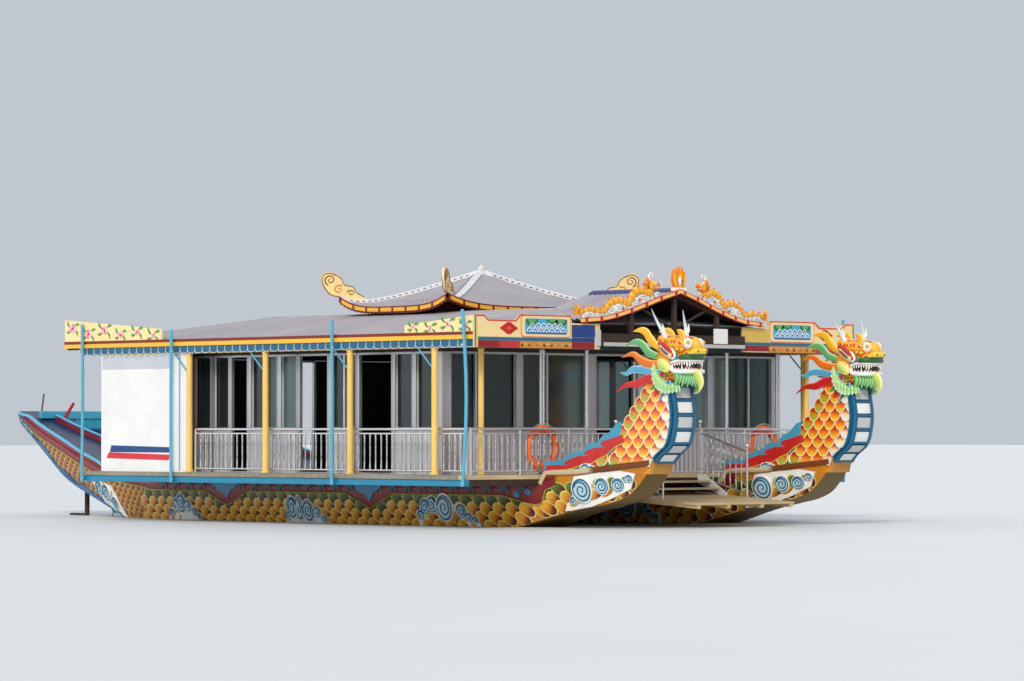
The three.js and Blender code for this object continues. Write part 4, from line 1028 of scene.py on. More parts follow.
def mouth(shape):
    upper, lower = both_ways(UPPER_LIP), both_ways(LOWER_LIP)

    def ring(path, rise, radius, tint, inset=0.0):
        line = [p + Vector((-inset, -copysign(min(inset, abs(p.y)), p.y), rise))
                for p in smooth_line(path, 40)]
        shape.tube(line, radius, "relief", tint, sides=8)

    ring(upper, 0.0, 0.02, WHITE)
    ring(upper, -0.022, 0.014, GUM, inset=0.012)
    brow = smooth_line(upper, 40)
    ring(upper, 0.046, [0.046 if p.x > BROW_X else 0.026 for p in brow],
         [BROW_GREEN if p.x > BROW_X else (30, 130, 150) for p in brow])
    ring(lower, 0.0, 0.032, WHITE)
    ring(lower, 0.03, 0.014, GUM, inset=0.014)
    shape.ball((2.6, 0, 1.65), (0.23, 0.18, 0.1), "relief", BLACK, rings=10, sides=20)
    shape.ball((2.67, 0, 1.61), (0.17, 0.07, 0.03), "relief", (196, 40, 44))
    for path, count, long_teeth, usual, longest, lean, inset, narrow, lift, radii in (
            (upper, 22, (7, 8, 14, 15), -0.062, -0.1, -0.004, 0.012, 0.93, -0.012, [0.017, 0.013, 0.003]),
            (lower, 20, (5, 15), 0.05, 0.085, 0.0, 0.016, 0.92, 0.014, [0.016, 0.012, 0.003])):
        for k, p in enumerate(smooth_line(path, count)):
            reach = longest if k in long_teeth else usual
            root = Vector((p.x - inset, p.y * narrow, p.z + lift))
            shape.tube([root, root + Vector((0, 0, 0.6 * reach)), root + Vector((lean, 0, reach))], radii,
                       "relief", TOOTH, sides=7, start_up=X_AXIS)


EYE_LENSES = [  # place, radii and colour of each layer, from the white rim to the pupil
    ((2.39, 0.235, 1.905), (0.235, 0.045, 0.1), (250, 248, 240)),
    ((2.39, 0.242, 1.908), (0.215, 0.05, 0.084), (206, 26, 34)),
    ((2.395, 0.252, 1.9), (0.18, 0.05, 0.05), (110, 8, 14)),
    ((2.4, 0.262, 1.893), (0.165, 0.045, 0.03), (244, 240, 232)),
    ((2.41, 0.27, 1.886), (0.14, 0.042, 0.014), BLACK),
]


def eye(shape, side):
    tilt = -atan2(0.26, 0.36)
    for (x, y, z), radii, tint in EYE_LENSES:
        lens(shape, (x, side * y, z), radii, tilt, tint)
    shape.ball((2.49, side * 0.262, 1.815), (0.042, 0.036, 0.036), "relief", (246, 226, 130))
    shape.ball((2.72, side * 0.12, 1.985), (0.085, 0.075, 0.085), "relief", WHITE, rings=12, sides=20)
    shape.ball((2.77, side * 0.165, 2.0), (0.034, 0.03, 0.034), "relief", (232, 170, 40))


def head_side(shape, side):
    eye(shape, side)
    horn = [(2.37, 0.2, 2.03), (2.35, 0.225, 2.1), (2.31, 0.262, 2.2), (2.24, 0.3, 2.34), (2.17, 0.335, 2.51)]
    shape.tube(smooth_line([(x, side * y, z) for x, y, z in horn], 12),
               [0.062, 0.058, 0.052, 0.045, 0.04, 0.035, 0.031, 0.027, 0.023, 0.019, 0.014, 0.009, 0.004],
               "relief", [mixed(WHITE, (176, 196, 204), k / 12) for k in range(13)], sides=12)
    branch = [(2.34, 0.235, 2.12), (2.365, 0.262, 2.2), (2.345, 0.286, 2.29)]
    shape.tube([(x, side * y, z) for x, y, z in branch], [0.03, 0.022, 0.004], "relief", WHITE, sides=8)
    # Mane of five flames, with a short second row behind each gap
    for points, half, tones in FLAMES:
        leaf(shape,
             [(x, side * (0.24 + 0.035 * k / (len(points) - 1)), z) for k, (x, z) in enumerate(points)],
             half, 0.034, tones)
    for points, half, tones in FLAMES[:-1]:
        leaf(shape, [(x + 0.06, side * 0.2, z - 0.07) for x, z in points[:4]], half * 0.62, 0.026, tones)
    for points, half, tones in DRAPES:
        leaf(shape, [(x, side * 0.246, z) for x, z in points], half, 0.016, tones)
    # Ear and brow curls
    lens(shape, (2.33, side * 0.24, 1.66), (0.15, 0.05, 0.1), -0.5, (236, 228, 130))
    lens(shape, (2.32, side * 0.272, 1.655), (0.1, 0.03, 0.05), -0.5, (190, 214, 110))
    for k in range(6):
        lens(shape, (2.3 + 0.075 * k, side * (0.262 - 0.012 * k), 1.955 - 0.012 * k), (0.04, 0.03, 0.026),
             0.5, (252, 196, 60))
    # Nostril and whisker bump
    shape.ball((2.895, side * 0.085, 1.865), (0.024, 0.026, 0.022), "relief", (150, 40, 16))
    shape.ball((2.66, side * 0.19, 1.8), (0.09, 0.03, 0.035), "relief", (250, 190, 40))


def collar(shape, side):
    """Pleated pale green frill along one side of the jaw."""
    steps = 72
    ring = smooth_line([(2.16, 0.25, 1.74), (2.2, 0.285, 1.62), (2.27, 0.285, 1.52), (2.38, 0.27, 1.44),
                        (2.5, 0.225, 1.4), (2.6, 0.17, 1.38)], steps)

    def frill(i, j):
        p = ring[i]
        out = Vector((p.x - 2.2, p.y, 0)).normalized()
        pleat = sin(TURN * i / 6)
        grow = 0.75 + 0.5 * sin(pi * min(1.0, i / steps * 1.1))
        drop = grow * (0.0, 0.05, 0.1 + 0.016 * pleat, 0.145 + 0.03 * abs(sin(TURN * i / 12)))[j]
        spread = (-0.02, 0.02 + 0.012 * pleat, 0.04 + 0.022 * pleat, 0.05 + 0.03 * pleat)[j]
        q = p + out * spread
        return (q.x, side * q.y, q.z - drop)

    def under(i, j):
        x, y, z = frill(i, j)
        return (x - 0.006, y * 0.97, z + 0.002)

    def tone(i, j):
        return ((120, 190, 110), (206, 232, 170), (178, 222, 150), (236, 246, 214))[j] if i % 6 > 1 \
            else (110, 180, 110)

    inner, outer = (under, frill) if side > 0 else (frill, under)
    shape.grid(steps + 1, 4, inner, "relief", tone, back=outer)


def beard(shape):
    shape.ball((2.77, 0.0, 1.96), (0.1, 0.085, 0.11), "relief", (252, 190, 40), rings=12, sides=20)
    for k in range(17):
        turn = (k - 8) / 8
        x, y = 2.76 - 0.2 * turn * turn, 0.2 * turn
        leaf(shape,
             [(x - 0.02, y, 1.58), (x + 0.01, y * 1.04, 1.47), (x - 0.01, y * 1.08, 1.34 + 0.03 * (k % 2))],
             0.036, 0.036, ((176, 222, 160), (104, 178, 100), (50, 130, 70)))
    leaf(shape, [(2.78, -0.03, 1.57), (2.86, -0.03, 1.5), (2.91, -0.03, 1.38), (2.87, -0.03, 1.26)], 0.075,
         0.06, ((244, 246, 170), (206, 222, 92), (130, 160, 40)))
    leaf(shape, [(2.5, 0.0, 2.04), (2.47, 0.0, 2.14), (2.38, 0.0, 2.2)], 0.07, 0.05,
         ((255, 226, 90), (248, 172, 30), (170, 90, 14)))


head = Shape()
sculpt(head, [(snout_x(lobe[0]), *lobe[1:]) for lobe in LOBES], HEAD_VOXEL, head_tint)
mouth(head)
for side in (1, -1):
    head_side(head, side)
    collar(head, side)
beard(head)
make_pair(head, "painted_head", "head", "dragon_paint")


# Deck planks, side beams with tall poles, and the boarding platform with its steps
PLANK, PLANK_GAP, PLANK_FOOT = 0.205, 0.008, -0.0695
deck = Shape()
stops = spans(-DECK_LENGTH, -0.1, max(1, round((DECK_LENGTH - 0.1) / PLANK)))
for a, b in zip(stops, stops[1:]):
    deck.box(a + PLANK_GAP / 2, b - PLANK_GAP / 2, -DECK_HALF, DECK_HALF, PLANK_FOOT, 0.0, "plank")
deck.box(-0.096, 0.0, -DECK_HALF, DECK_HALF, PLANK_FOOT, 0.0, "light_wood")
deck.make("deck_planks", "deck", "deck_wood", bevel=0.006)

under_deck = Shape()
BEARERS, BEARER_HALF, FRAME_DEPTH = (-4.1, -2.4, -0.8, 0.8, 2.4, 4.1), 0.04, -0.17
for y in BEARERS:
    under_deck.box(-DECK_LENGTH, 0.0, y - BEARER_HALF, y + BEARER_HALF, FRAME_DEPTH, -0.0703, "dark_wood")
for x in spans(-DECK_LENGTH + BEARER_HALF, -BEARER_HALF, 6):
    for y0, y1 in zip(BEARERS, BEARERS[1:]):
        under_deck.box(x - BEARER_HALF, x + BEARER_HALF, y0 + BEARER_HALF, y1 - BEARER_HALF, -0.168, -0.0705,
                       "dark_wood")
under_deck.make("deck_joists", "deck_frame", "dark_wood", bevel=0.006)

POLES = [(0.046, 2.504, 0.09), (-2.994, 2.4, 0.012), (-7.044, 2.33, -0.01), (-9.46, 2.456, 0.015)]
BEAM_IN, BEAM_OUT, POLE_Y = 4.1405, 4.2, 4.26
for name, side in SIDES:
    beam = Shape(side)
    beam.box(-DECK_LENGTH, 0.076, BEAM_IN, BEAM_OUT, -0.17, -0.0703, "beam_blue")
    beam.make("side_rail_" + name, slot="blue_paint", bevel=0.008)
    poles = Shape(side)
    for x, top, bow in POLES:
        path = [(x + bow * sin(pi * k / 8), POLE_Y, -0.17 + (top + 0.17) * k / 8) for k in range(9)]
        poles.tube(path, 0.027, "pole_blue", sides=14, start_up=X_AXIS)
        poles.ball((x, POLE_Y, top), (0.027, 0.027, 0.014), "pole_blue")
        poles.box(x - 0.03, x + 0.03, BEAM_OUT - 0.02, POLE_Y, -0.155, -0.085, "beam_blue")
        for z in (-0.12, 1.98):
            poles.tube([(x - 0.034, POLE_Y - 0.001, z), (x + 0.034, POLE_Y - 0.001, z)], 0.012, "steel",
                       sides=8)
            poles.rod((x, POLE_Y - 0.02, z - 0.02), (x, POLE_Y - 0.02, z + 0.02), 0.03, "steel", sides=14)
    poles.make("pole_row_" + name, "side_beam_" + name, "blue_paint", bevel=0.004)

PLATFORM_BACK, PLATFORM_FRONT, PLATFORM_HALF, PLATFORM_HEIGHT = -0.3, 1.9, 1.1, -0.29
PLATFORM_SLOPE = (-0.437 - PLATFORM_HEIGHT) / 2.2


def platform_top(x):
    return PLATFORM_HEIGHT + (x - PLATFORM_BACK) * PLATFORM_SLOPE


def sloping(x0, x1, top, bottom):
    """Outline of a board along the slope, between two depths under the platform's surface."""
    return [(x0, platform_top(x0) - top), (x1, platform_top(x1) - top), (x1, platform_top(x1) - bottom),
            (x0, platform_top(x0) - bottom)]


platform = Shape()
stops = spans(PLATFORM_BACK, PLATFORM_FRONT, 16)
for a, b in zip(stops, stops[1:]):
    platform.prism(sloping(a + 0.004, b - 0.004, 0, 0.03), -PLATFORM_HALF, PLATFORM_HALF, along_y,
                   "light_wood")
for y in (-1.06, -0.4, 0.34, 1.0):
    platform.prism(sloping(PLATFORM_BACK, PLATFORM_FRONT, 0.031, 0.085), y, y + 0.06, along_y, "light_wood")
for y in (-0.8, 0.8):
    for x in (-0.28, -0.06):
        platform.box(x, x + 0.06, y - 0.04, y + 0.04, -0.33, -0.171, "dark_wood")
platform.make("platform_planks", "boarding_platform", "light_wood", bevel=0.004)

steps = Shape()
for y in (-0.91, 0.87):
    outline = [(0.0003, -0.02), (0.13, -0.02), (0.62, platform_top(0.62) + 0.04), (0.62, platform_top(0.62)),
               (0.49, platform_top(0.49)), (0.0003, -0.16)]
    steps.prism(outline, y, y + 0.04, along_y, "panel")
for x0, x1, top in ((0.0003, 0.3, -0.115), (0.19, 0.48, -0.225)):
    for a, b in ((x0, (x0 + x1) / 2 - 0.003), ((x0 + x1) / 2 + 0.003, x1)):
        steps.box(a, b, -0.9, 0.9, top - 0.03, top, "light_wood")
steps.make("step_boards", "boarding_stairs", "light_wood", bevel=0.004)


# Stainless railings with twisted balusters
def twisted(shape, place, low, high, half=0.0085, turns=1.5, steps=12):
    """A square bar that turns as it rises. place(depth_a, depth_b, height) gives its points."""
    points = []
    for k in range(steps + 1):
        share = k / steps
        angle = TURN * turns * min(1.0, max(0.0, (share - 0.15) / 0.7))
        height = low + (high - low) * share
        for corner in range(4):
            turn = angle + TURN * (corner / 4 + 0.125)
            points.append(place(half * 1.414 * cos(turn), half * 1.414 * sin(turn), height))
    shape.add(points, bands(steps + 1, 4), "steel")


def railing(shape, start, end, posts, at, upright=Y_AXIS):
    """A straight railing. at(distance, depth, height) gives points along its line."""
    for height, radius in ((0.0625, 0.014), (0.6325, 0.014), (0.702, 0.019)):
        shape.tube([at(start, 0, height), at(end, 0, height)], radius, "steel", sides=12)
    stops = [start + 0.015, *posts, end - 0.015]
    for stop in stops:
        shape.tube([at(stop, 0, 0.0005), at(stop, 0, 0.7)], 0.0185, "steel", sides=14, start_up=upright)
        shape.tube([at(stop, 0, 0.0004), at(stop, 0, 0.012)], 0.038, "steel", sides=16, start_up=upright)
    for low, high in zip(stops, stops[1:]):
        count = max(1, round((high - low) / 0.13))
        for k in range(1, count):
            spot = low + (high - low) * k / count
            twisted(shape, lambda a, b, h: at(spot + a, b, h), 0.0625, 0.6325)


COLUMN_XS = (-0.724, -2.703, -4.776, -6.726)
# Handrails down to the platform
HAND_Y, HAND_START, HAND_END = 0.9425, 0.016, 1.02


def hand_top(x):
    return 0.65 - 0.3 * (x - 0.015) / 1.02 - 0.015


def hand_foot(x):
    return -0.055 - 0.26 * x


for name, side in SIDES:
    rail = Shape(side)
    railing(rail, -6.67, -0.06, COLUMN_XS[2::-1], lambda s, d, h: (s, 4.06 - d, h))
    rail.make("gallery_rail_" + name, "side_railing_" + name, "stainless")
    rail = Shape(side)
    railing(rail, 0.93, 4.04, [1.97, 3.0], lambda s, d, h: (-0.02 + d, s, h), upright=X_AXIS)
    rail.rod((-0.02, 0.945, 0.7), (-0.02, 0.945, 0.8), 0.013, "steel")
    rail.ball((-0.02, 0.945, 0.82), (0.035, 0.035, 0.035), "steel", rings=12, sides=20)
    rail.make("fore_rail_" + name, "front_railing_" + name, "stainless")
    rail = Shape(side)
    for height_at, radius in ((hand_top, 0.017), (hand_foot, 0.012)):
        rail.tube([(x, HAND_Y, height_at(x)) for x in (HAND_START, HAND_END)], radius, "steel", sides=12)
    rail.rod((0.0185, HAND_Y, -0.155), (0.0185, HAND_Y, 0.695), 0.018, "steel")
    rail.rod((HAND_END, HAND_Y, platform_top(HAND_END)), (HAND_END, HAND_Y, 0.42), 0.018, "steel")
    rail.ball((HAND_END, HAND_Y, 0.44), (0.035, 0.035, 0.035), "steel", rings=12, sides=20)
    for x in spans(0.145, 0.9, 6):
        twisted(rail, lambda a, b, h: (x + a, HAND_Y - b, h), hand_foot(x), hand_top(x))
    rail.make("stair_handrail_" + name, "stair_rail_" + name, "stainless")


# Round columns under the eave beams
COLUMN_TOP, BEAM_TOP, ON_DECK = 1.94, 2.04, 0.0005
FORE_COLUMN_X = -0.21


def column(shape, x, y, radius, material, top=COLUMN_TOP):
    shape.rod((x, y, ON_DECK), (x, y, top), radius, material, sides=24)
    shape.rod((x, y, 0.0004), (x, y, 0.035), radius * 1.35, material, sides=24)
    shape.rod((x, y, 0.035), (x, y, 0.05), radius * 1.35, material, sides=24, end_radius=radius)
    shape.rod((x, y, top - 0.03), (x, y, top - 0.002), radius * 1.2, material, sides=24)


for row in mirrored("gallery_columns", "side_colonnade", "yellow_paint", bevel=0.004):
    row.box(-DECK_LENGTH, 0.25, 4.1, 4.17, COLUMN_TOP, BEAM_TOP, "yellow")
    for x in COLUMN_XS:
        column(row, x, 4.13, 0.05, "yellow")
        row.tube([(x - 0.04, 4.16, 1.66), (x - 0.34, 4.16, 1.935)], 0.013, "pole_blue", sides=8)

front_row = Shape()
# Header beam across the front: dark teal as painted shade under the gable and the eave
front_row.box(-0.26, -0.16, -4.0997, 4.0997, COLUMN_TOP, BEAM_TOP, "board", (24, 58, 66))
for y in (-3.64, 3.64):
    column(front_row, FORE_COLUMN_X, y, 0.045, "yellow")
for y in (-2.36, 2.96):
    for d in (-0.028, 0.028):
        front_row.rod((FORE_COLUMN_X, y + d, ON_DECK), (FORE_COLUMN_X, y + d, COLUMN_TOP), 0.021, "steel",
                      sides=16)
    for z in (0.02, 0.5, 1.0, 1.5, 1.9):
        front_row.box(-0.232, -0.188, y - 0.055, y + 0.055, z - 0.012, z + 0.012, "steel")
for y in (-1.4, 1.75):
    column(front_row, FORE_COLUMN_X, y, 0.03, "steel")
front_row.make("fore_columns", "front_colonnade", "yellow_paint", bevel=0.003)


# Life rings with a grab line in four arcs
for ring in mirrored("ring_buoy", "life_ring", "ring_orange"):
    centre = (-0.0853, 2.47, 0.41)

    def on_ring(angle, reach, depth=0.0):
        return (centre[0] + depth, centre[1] + reach * cos(angle), centre[2] + reach * sin(angle))

    count, around = 48, 16
    points = [on_ring(TURN * i / count, 0.29 + 0.0645 * cos(turn), 0.0495 * sin(turn))
              for i in range(count) for turn in (TURN * k / around for k in range(around))]
    total = len(points)
    ring.add(points, [(a, d % total, c % total, b) for a, b, c, d in bands(count + 1, around)], "ring")
    for quarter in range(4):
        start = TURN * (quarter / 4 + 0.125) + 0.1
        line = [on_ring(start + (TURN / 4 - 0.2) * k / 10, 0.366 + 0.012 * sin(pi * k / 10), 0.02)
                for k in range(11)]
        ring.tube(line, 0.006, "grey_band", sides=6, start_up=X_AXIS)


# Cabin: aluminium frames and ribbed panels round the windows and doorways, with glass inside
WALL, SILL, HEAD, WALL_TOP, FLOOR_GAP = 0.06, 0.72, 1.9, 2.04, 0.0005
CABIN_HALF, CABIN_BACK, CABIN_FRONT = 3.77, -9.06, -0.95
SIDE_OPENINGS = [(-7.06, -6.62, SILL), (-6.55, -6.15, SILL), (-6.09, -5.67, 0.02), (-5.59, -4.91, SILL),
                 (-4.83, -4.43, SILL), (-4.36, -3.66, 0.02), (-3.59, -2.97, SILL), (-2.91, -2.12, 0.02),
                 (-2.06, -1.64, SILL), (-1.57, -1.07, SILL)]
END_DOOR = (-0.48, 0.48, 0.02)
FRONT_OPENINGS = [(-3.6, -2.2, SILL), (-2.08, -0.68, SILL), END_DOOR, (0.68, 2.08, SILL), (2.2, 3.6, SILL)]


def slab(shape, at, s0, s1, d0, d1, z0, z1, material, tint=None):
    shape.prism([(s0, z0), (s1, z0), (s1, z1), (s0, z1)], d0, d1, lambda a, b, c: at(a, c, b), material, tint)


def panel(shape, at, s0, s1, top):
    """A ribbed panel in a dimmed white, as painted shade on the wall under the eave, on an inner lining
    painted dark as the shade inside the cabin.
    """
    slab(shape, at, s0, s1, 0.012, 0.046, FLOOR_GAP, top, "shaded_wall_panel")
    slab(shape, at, s0, s1, 0.0, 0.0117, FLOOR_GAP, top, "dark_wood")
    count = max(1, round((s1 - s0) / 0.1))
    for k in range(count):
        middle = s0 + (s1 - s0) * (k + 0.5) / count
        slab(shape, at, middle - 0.014, middle + 0.014, 0.046, 0.057, 0.03, top - 0.03, "aluminium")


def window_frame(shape, at, s0, s1, foot, stile=None):
    """Frame round an opening, with the meeting stile of its sliding panes."""
    for a, b in ((s0 - 0.004, s0 + 0.014), (s1 - 0.014, s1 + 0.004)):
        slab(shape, at, a, b, 0.008, 0.066, foot, HEAD, "aluminium")
    slab(shape, at, s0, s1, 0.008, 0.064, HEAD - 0.03, HEAD + 0.004, "aluminium")
    if foot < SILL:
        slab(shape, at, s0, s1, 0.0, WALL, FLOOR_GAP, foot, "aluminium")
        return
    slab(shape, at, s0, s1, 0.004, 0.072, foot - 0.035, foot + 0.01, "aluminium")
    if stile is not None:
        slab(shape, at, stile - 0.022, stile + 0.022, 0.012, 0.05, foot + 0.01, HEAD - 0.03, "aluminium")
        slab(shape, at, stile - 0.008, stile + 0.008, 0.05, 0.056, 1.2, 1.34, "steel")
    for a, b in ((s0 + 0.014, s0 + 0.026), (s1 - 0.026, s1 - 0.014)):
        slab(shape, at, a, b, 0.012, 0.036, foot + 0.01, HEAD - 0.03, "grey_panel")


def wall_line(shape, at, start, end, openings, stile_share=None):
    """A wall along s. at(s, depth, z) has depth 0 on the inner face and WALL on the outer one."""
    slab(shape, at, start, end, 0.0, WALL, HEAD + 0.004, WALL_TOP, "dark_wood")
    edges = [start] + [s for s0, s1, _ in openings for s in (s0, s1)] + [end]
    for a, b in zip(edges[::2], edges[1::2]):
        if b - a > 0.3:
            panel(shape, at, a + 0.03, b - 0.03, HEAD)
            slab(shape, at, a, a + 0.03, 0.0, WALL, FLOOR_GAP, HEAD, "aluminium")
            slab(shape, at, b - 0.03, b, 0.0, WALL, FLOOR_GAP, HEAD, "aluminium")
        elif b > a:
            slab(shape, at, a, b, 0.0, WALL, FLOOR_GAP, HEAD, "aluminium")
    for s0, s1, foot in openings:
        stile = None
        if s1 - s0 > 0.6:
            stile = (s0 + s1) / 2 if stile_share is None else outer_share(s0, s1, stile_share)
        window_frame(shape, at, s0, s1, foot, stile)
        if foot == SILL:
            panel(shape, at, s0, s1, SILL - 0.035)


def outer_share(s0, s1, share):
    """A place at a share of the opening, counted from its outboard edge."""
    return s0 + (s1 - s0) * (share if s0 < 0 else 1 - share)


# Panes of the windows, each in its own rubber seal, as spans of x at the sides and of y at the front
SEAL, SEAL_RIM = 0.034, 0.012
SIDE_PANES = [(s0 - SEAL, s1 + SEAL) for s0, s1, foot in SIDE_OPENINGS if foot == SILL]
SIDE_GLASS, SIDE_RUBBER = (3.7037, 3.7097), (3.7017, 3.7036)
FORE_PANES = [(0.64, 2.12), (2.16, 3.64)]
FORE_GLASS, FORE_RUBBER = (-1.0163, -1.0103), (-1.0183, -1.0164)


def pane(shape, glass, rubber):
    """glass and rubber are the ends in x and in y."""
    shape.box(*glass, SILL - SEAL, HEAD + SEAL, "glass")
    for z in (SILL - SEAL, HEAD + SEAL - SEAL_RIM):
        shape.box(*rubber, z, z + SEAL_RIM, "rubber")


for name, side in SIDES:
    wall = Shape(side)
    wall_line(wall, lambda s, d, z: (s, CABIN_HALF - WALL + d, z), CABIN_BACK + WALL + 0.0003,
              CABIN_FRONT - WALL - 0.0003, SIDE_OPENINGS)
    wall.make("cabin_side_" + name, "cabin_wall_" + name, "white_panel", bevel=0.002)
    panes = Shape(side)
    for span in SIDE_PANES:
        pane(panes, span + SIDE_GLASS, span + SIDE_RUBBER)
    panes.make("cabin_panes_" + name, "cabin_glass_" + name, "window_glass")
    panes = Shape(side)
    for span in FORE_PANES:
        pane(panes, FORE_GLASS + span, FORE_RUBBER + span)
    panes.make("fore_panes_" + name, "front_glass_" + name, "window_glass")

wall = Shape()
wall_line(wall, lambda s, d, z: (CABIN_FRONT - WALL + d, s, z), -CABIN_HALF, CABIN_HALF, FRONT_OPENINGS, 0.39)
wall.make("cabin_fore_wall", "cabin_wall_front", "white_panel", bevel=0.002)
wall = Shape()
wall_line(wall, lambda s, d, z: (CABIN_BACK + WALL - d, s, z), -CABIN_HALF, CABIN_HALF, [END_DOOR])
wall.make("cabin_back_wall", "cabin_wall_aft", "white_panel", bevel=0.002)


# Lacquered table with a bench on each side
def leg(shape, x, y, foot, top, material):
    """A turned leg with a square block at its top."""
    profile = [(0.0, 0.02), (0.02, 0.026), (0.1, 0.018), (0.3, 0.024), (0.55, 0.03), (0.7, 0.02),
               (0.8, 0.026)]
    path = [(x, y, foot + (top - foot) * share) for share, _ in profile]
    shape.tube(path, [r for _, r in profile], material, sides=14, start_up=X_AXIS)
    shape.box(x - 0.027, x + 0.027, y - 0.027, y + 0.027, foot + (top - foot) * 0.8, top, material)


TOP_UNDER, APRON_FOOT = 0.722, 0.62
table = Shape()
table.box(-4.9, -3.1, -0.45, 0.45, 0.735, 0.76, "lacquer")
table.box(-4.88, -3.12, -0.43, 0.43, TOP_UNDER, 0.735, "lacquer")
for y in (-0.38, 0.36):
    table.box(-4.8, -3.2, y, y + 0.02, APRON_FOOT, TOP_UNDER, "lacquer")
for x in (-4.8, -3.22):
    table.box(x, x + 0.02, -0.36, 0.36, APRON_FOOT, TOP_UNDER, "lacquer")
for x in (-4.67, -3.33):
    for y in (-0.3, 0.3):
        leg(table, x, y, 0.0005, TOP_UNDER, "lacquer")
    table.box(x - 0.012, x + 0.012, -0.29, 0.29, 0.14, 0.17, "lacquer")
table.box(-4.67, -3.33, -0.012, 0.012, 0.14, 0.168, "lacquer")
table.make("saloon_table", "table", "red_lacquer", bevel=0.004)

BENCH_LEGS = [-4.84 + 0.56 * k for k in range(4)]
for bench in mirrored("bench_slats", "bench", "dark_wood", bevel=0.003):
    for y in (0.62 + 0.0905 * k for k in range(4)):
        bench.box(-4.9, -3.1, y, y + 0.0865, 0.412, 0.44, "dark_wood")
    for x in BENCH_LEGS:
        bench.box(x - 0.02, x + 0.02, 0.64, 0.96, 0.37, 0.412, "dark_wood")
        for y in (0.67, 0.93):
            leg(bench, x, y, 0.0005, 0.4, "dark_wood")
    bench.box(-4.84, -3.16, 0.79, 0.81, 0.12, 0.15, "dark_wood")
    for x in BENCH_LEGS:
        bench.box(x - 0.012, x + 0.012, 0.67, 0.93, 0.12, 0.149, "dark_wood")


# Blank white boards at the stern quarters, with a grey band and two slanted stripes
BOARD_BLUE, BOARD_RED, BOARD_GREY, BOARD_WHITE = (0, 66, 130), (222, 32, 46), (196, 200, 208), (238, 237, 234)
BOARD_BACK, BOARD_LENGTH, BOARD_IN, BOARD_OUT = -9.05, 2.24, 4.11, 4.15
FRAME_BACK, FRAME_FRONT, FRAME_FOOT, FRAME_HEAD = -9.045, -6.815, 0.025, 1.915
for board in mirrored("quarter_board", "side_board", "white_panel", bevel=0.002):
    board.box(BOARD_BACK, -6.81, 4.118, 4.144, 0.02, 1.94, "board", BOARD_WHITE)
    for a, b in ((-9.07, FRAME_BACK), (FRAME_FRONT, -6.79)):
        board.box(a, b, BOARD_IN, BOARD_OUT, 0.0005, 1.9405, "panel")
    for z0, z1 in ((0.0005, FRAME_FOOT), (FRAME_HEAD, 1.9405)):
        board.box(FRAME_BACK, FRAME_FRONT, BOARD_IN, BOARD_OUT, z0, z1, "panel")
    for k in range(1, 5):
        x = BOARD_BACK + BOARD_LENGTH * k / 5
        board.box(x - 0.02, x + 0.02, BOARD_IN, 4.118, FRAME_FOOT, FRAME_HEAD, "grey_panel")
    figures = [([(-9.045, 1.7), (-7.22, 1.7), (-7.22, 1.914), (-9.045, 1.914)], BOARD_GREY),
               ([(-8.84, 0.321), (-7.16, 0.317), (-7.16, 0.406), (-8.8, 0.435)], BOARD_BLUE),
               ([(-8.93, 0.219), (-7.26, 0.192), (-7.2, 0.284), (-8.87, 0.318)], BOARD_RED),
               ([(-6.985, 0.025), (-6.95, 0.025), (-6.95, 1.914), (-6.985, 1.914)], (150, 160, 190))]
    for outline, tint in figures:
        board.prism(outline, 4.1441, 4.1465, along_y, "board", tint)


# Roofs: corrugated sheets over the cabin, a pavilion on the ridge and a gable at the front
def line_at(points, x):
    """Height on the straight stretches between points, which run from low x to high."""
    for (x0, z0), (x1, z1) in zip(points, points[1:]):
        if x <= x1:
            return z0 + (z1 - z0) * max(0.0, x - x0) / (x1 - x0)
    return points[-1][1]


def loft(shape, rings, material, tint=None):
    """A closed solid through rings of points. tint is one colour, or a list with one for each ring."""
    count = len(rings[0])
    points = [p for ring in rings for p in ring]
    faces = bands(len(rings), count) + caps(len(rings), count)
    volume = 0.0
    for face in faces:
        a = Vector(points[face[0]])
        for p, q in zip(face[1:], face[2:]):
            volume += a.dot(Vector(points[p]).cross(Vector(points[q])))
    if volume < 0:
        faces = [face[::-1] for face in faces]
    tints = [t for t in tint for _ in range(count)] if isinstance(tint, list) else tint
    shape.add(points, faces, material, tints)


ROOF_BACK, ROOF_FRONT, EAVE_TOP, SHEET = -10.0, 0.26, 2.18, 0.04
RIDGE = [(-10.0, 2.46), (-7.6, 2.64), (-1.5, 2.64), (0.26, 2.37)]
RISE = [(0.0, 1.0), (1.6, 0.93), (3.0, 0.5), (4.18, 0.0)]
WAVE_PITCH, WAVE, SKIN = 0.115, 0.009, 0.006
LINING_TOP = 2 * WAVE + SKIN + 0.0005


def roof_height(x, y):
    return EAVE_TOP + line_at(RISE, abs(y)) * (line_at(RIDGE, x) - EAVE_TOP)


def wave(s):
    """Drop of a corrugated sheet's skin below its crests."""
    return WAVE * (cos(TURN * s / WAVE_PITCH) - 1)


roof = Shape()
xs = spans(ROOF_BACK, ROOF_FRONT, 4 * round((ROOF_FRONT - ROOF_BACK) / WAVE_PITCH))
ys = [-4.18, -3.6, -3.0, -2.3, -1.6, -0.8, 0.0, 0.8, 1.6, 2.3, 3.0, 3.6, 4.18]
roof.grid(len(xs), len(ys), lambda i, j: (xs[i], ys[j], roof_height(xs[i], ys[j]) + wave(xs[i])), "sheet",
          back=lambda i, j: (xs[i], ys[j], roof_height(xs[i], ys[j]) + wave(xs[i]) - SKIN))
# Lining under the sheets, dark as painted shade on the roof's underside
lining = spans(-10.0, -7.6, 3) + spans(-7.6, -1.5, 6)[1:] + spans(-1.5, 0.26, 3)[1:]
roof.grid(len(lining), len(ys),
          lambda i, j: (lining[i], ys[j], roof_height(lining[i], ys[j]) - LINING_TOP), "dark_wood",
          back=lambda i, j: (lining[i], ys[j], roof_height(lining[i], ys[j]) - SHEET))
JOISTS = (-9.3, -6.726, -4.776, -2.703, -0.724)
JOIST_END, JOIST_FOOT = 4.0997, 2.0403
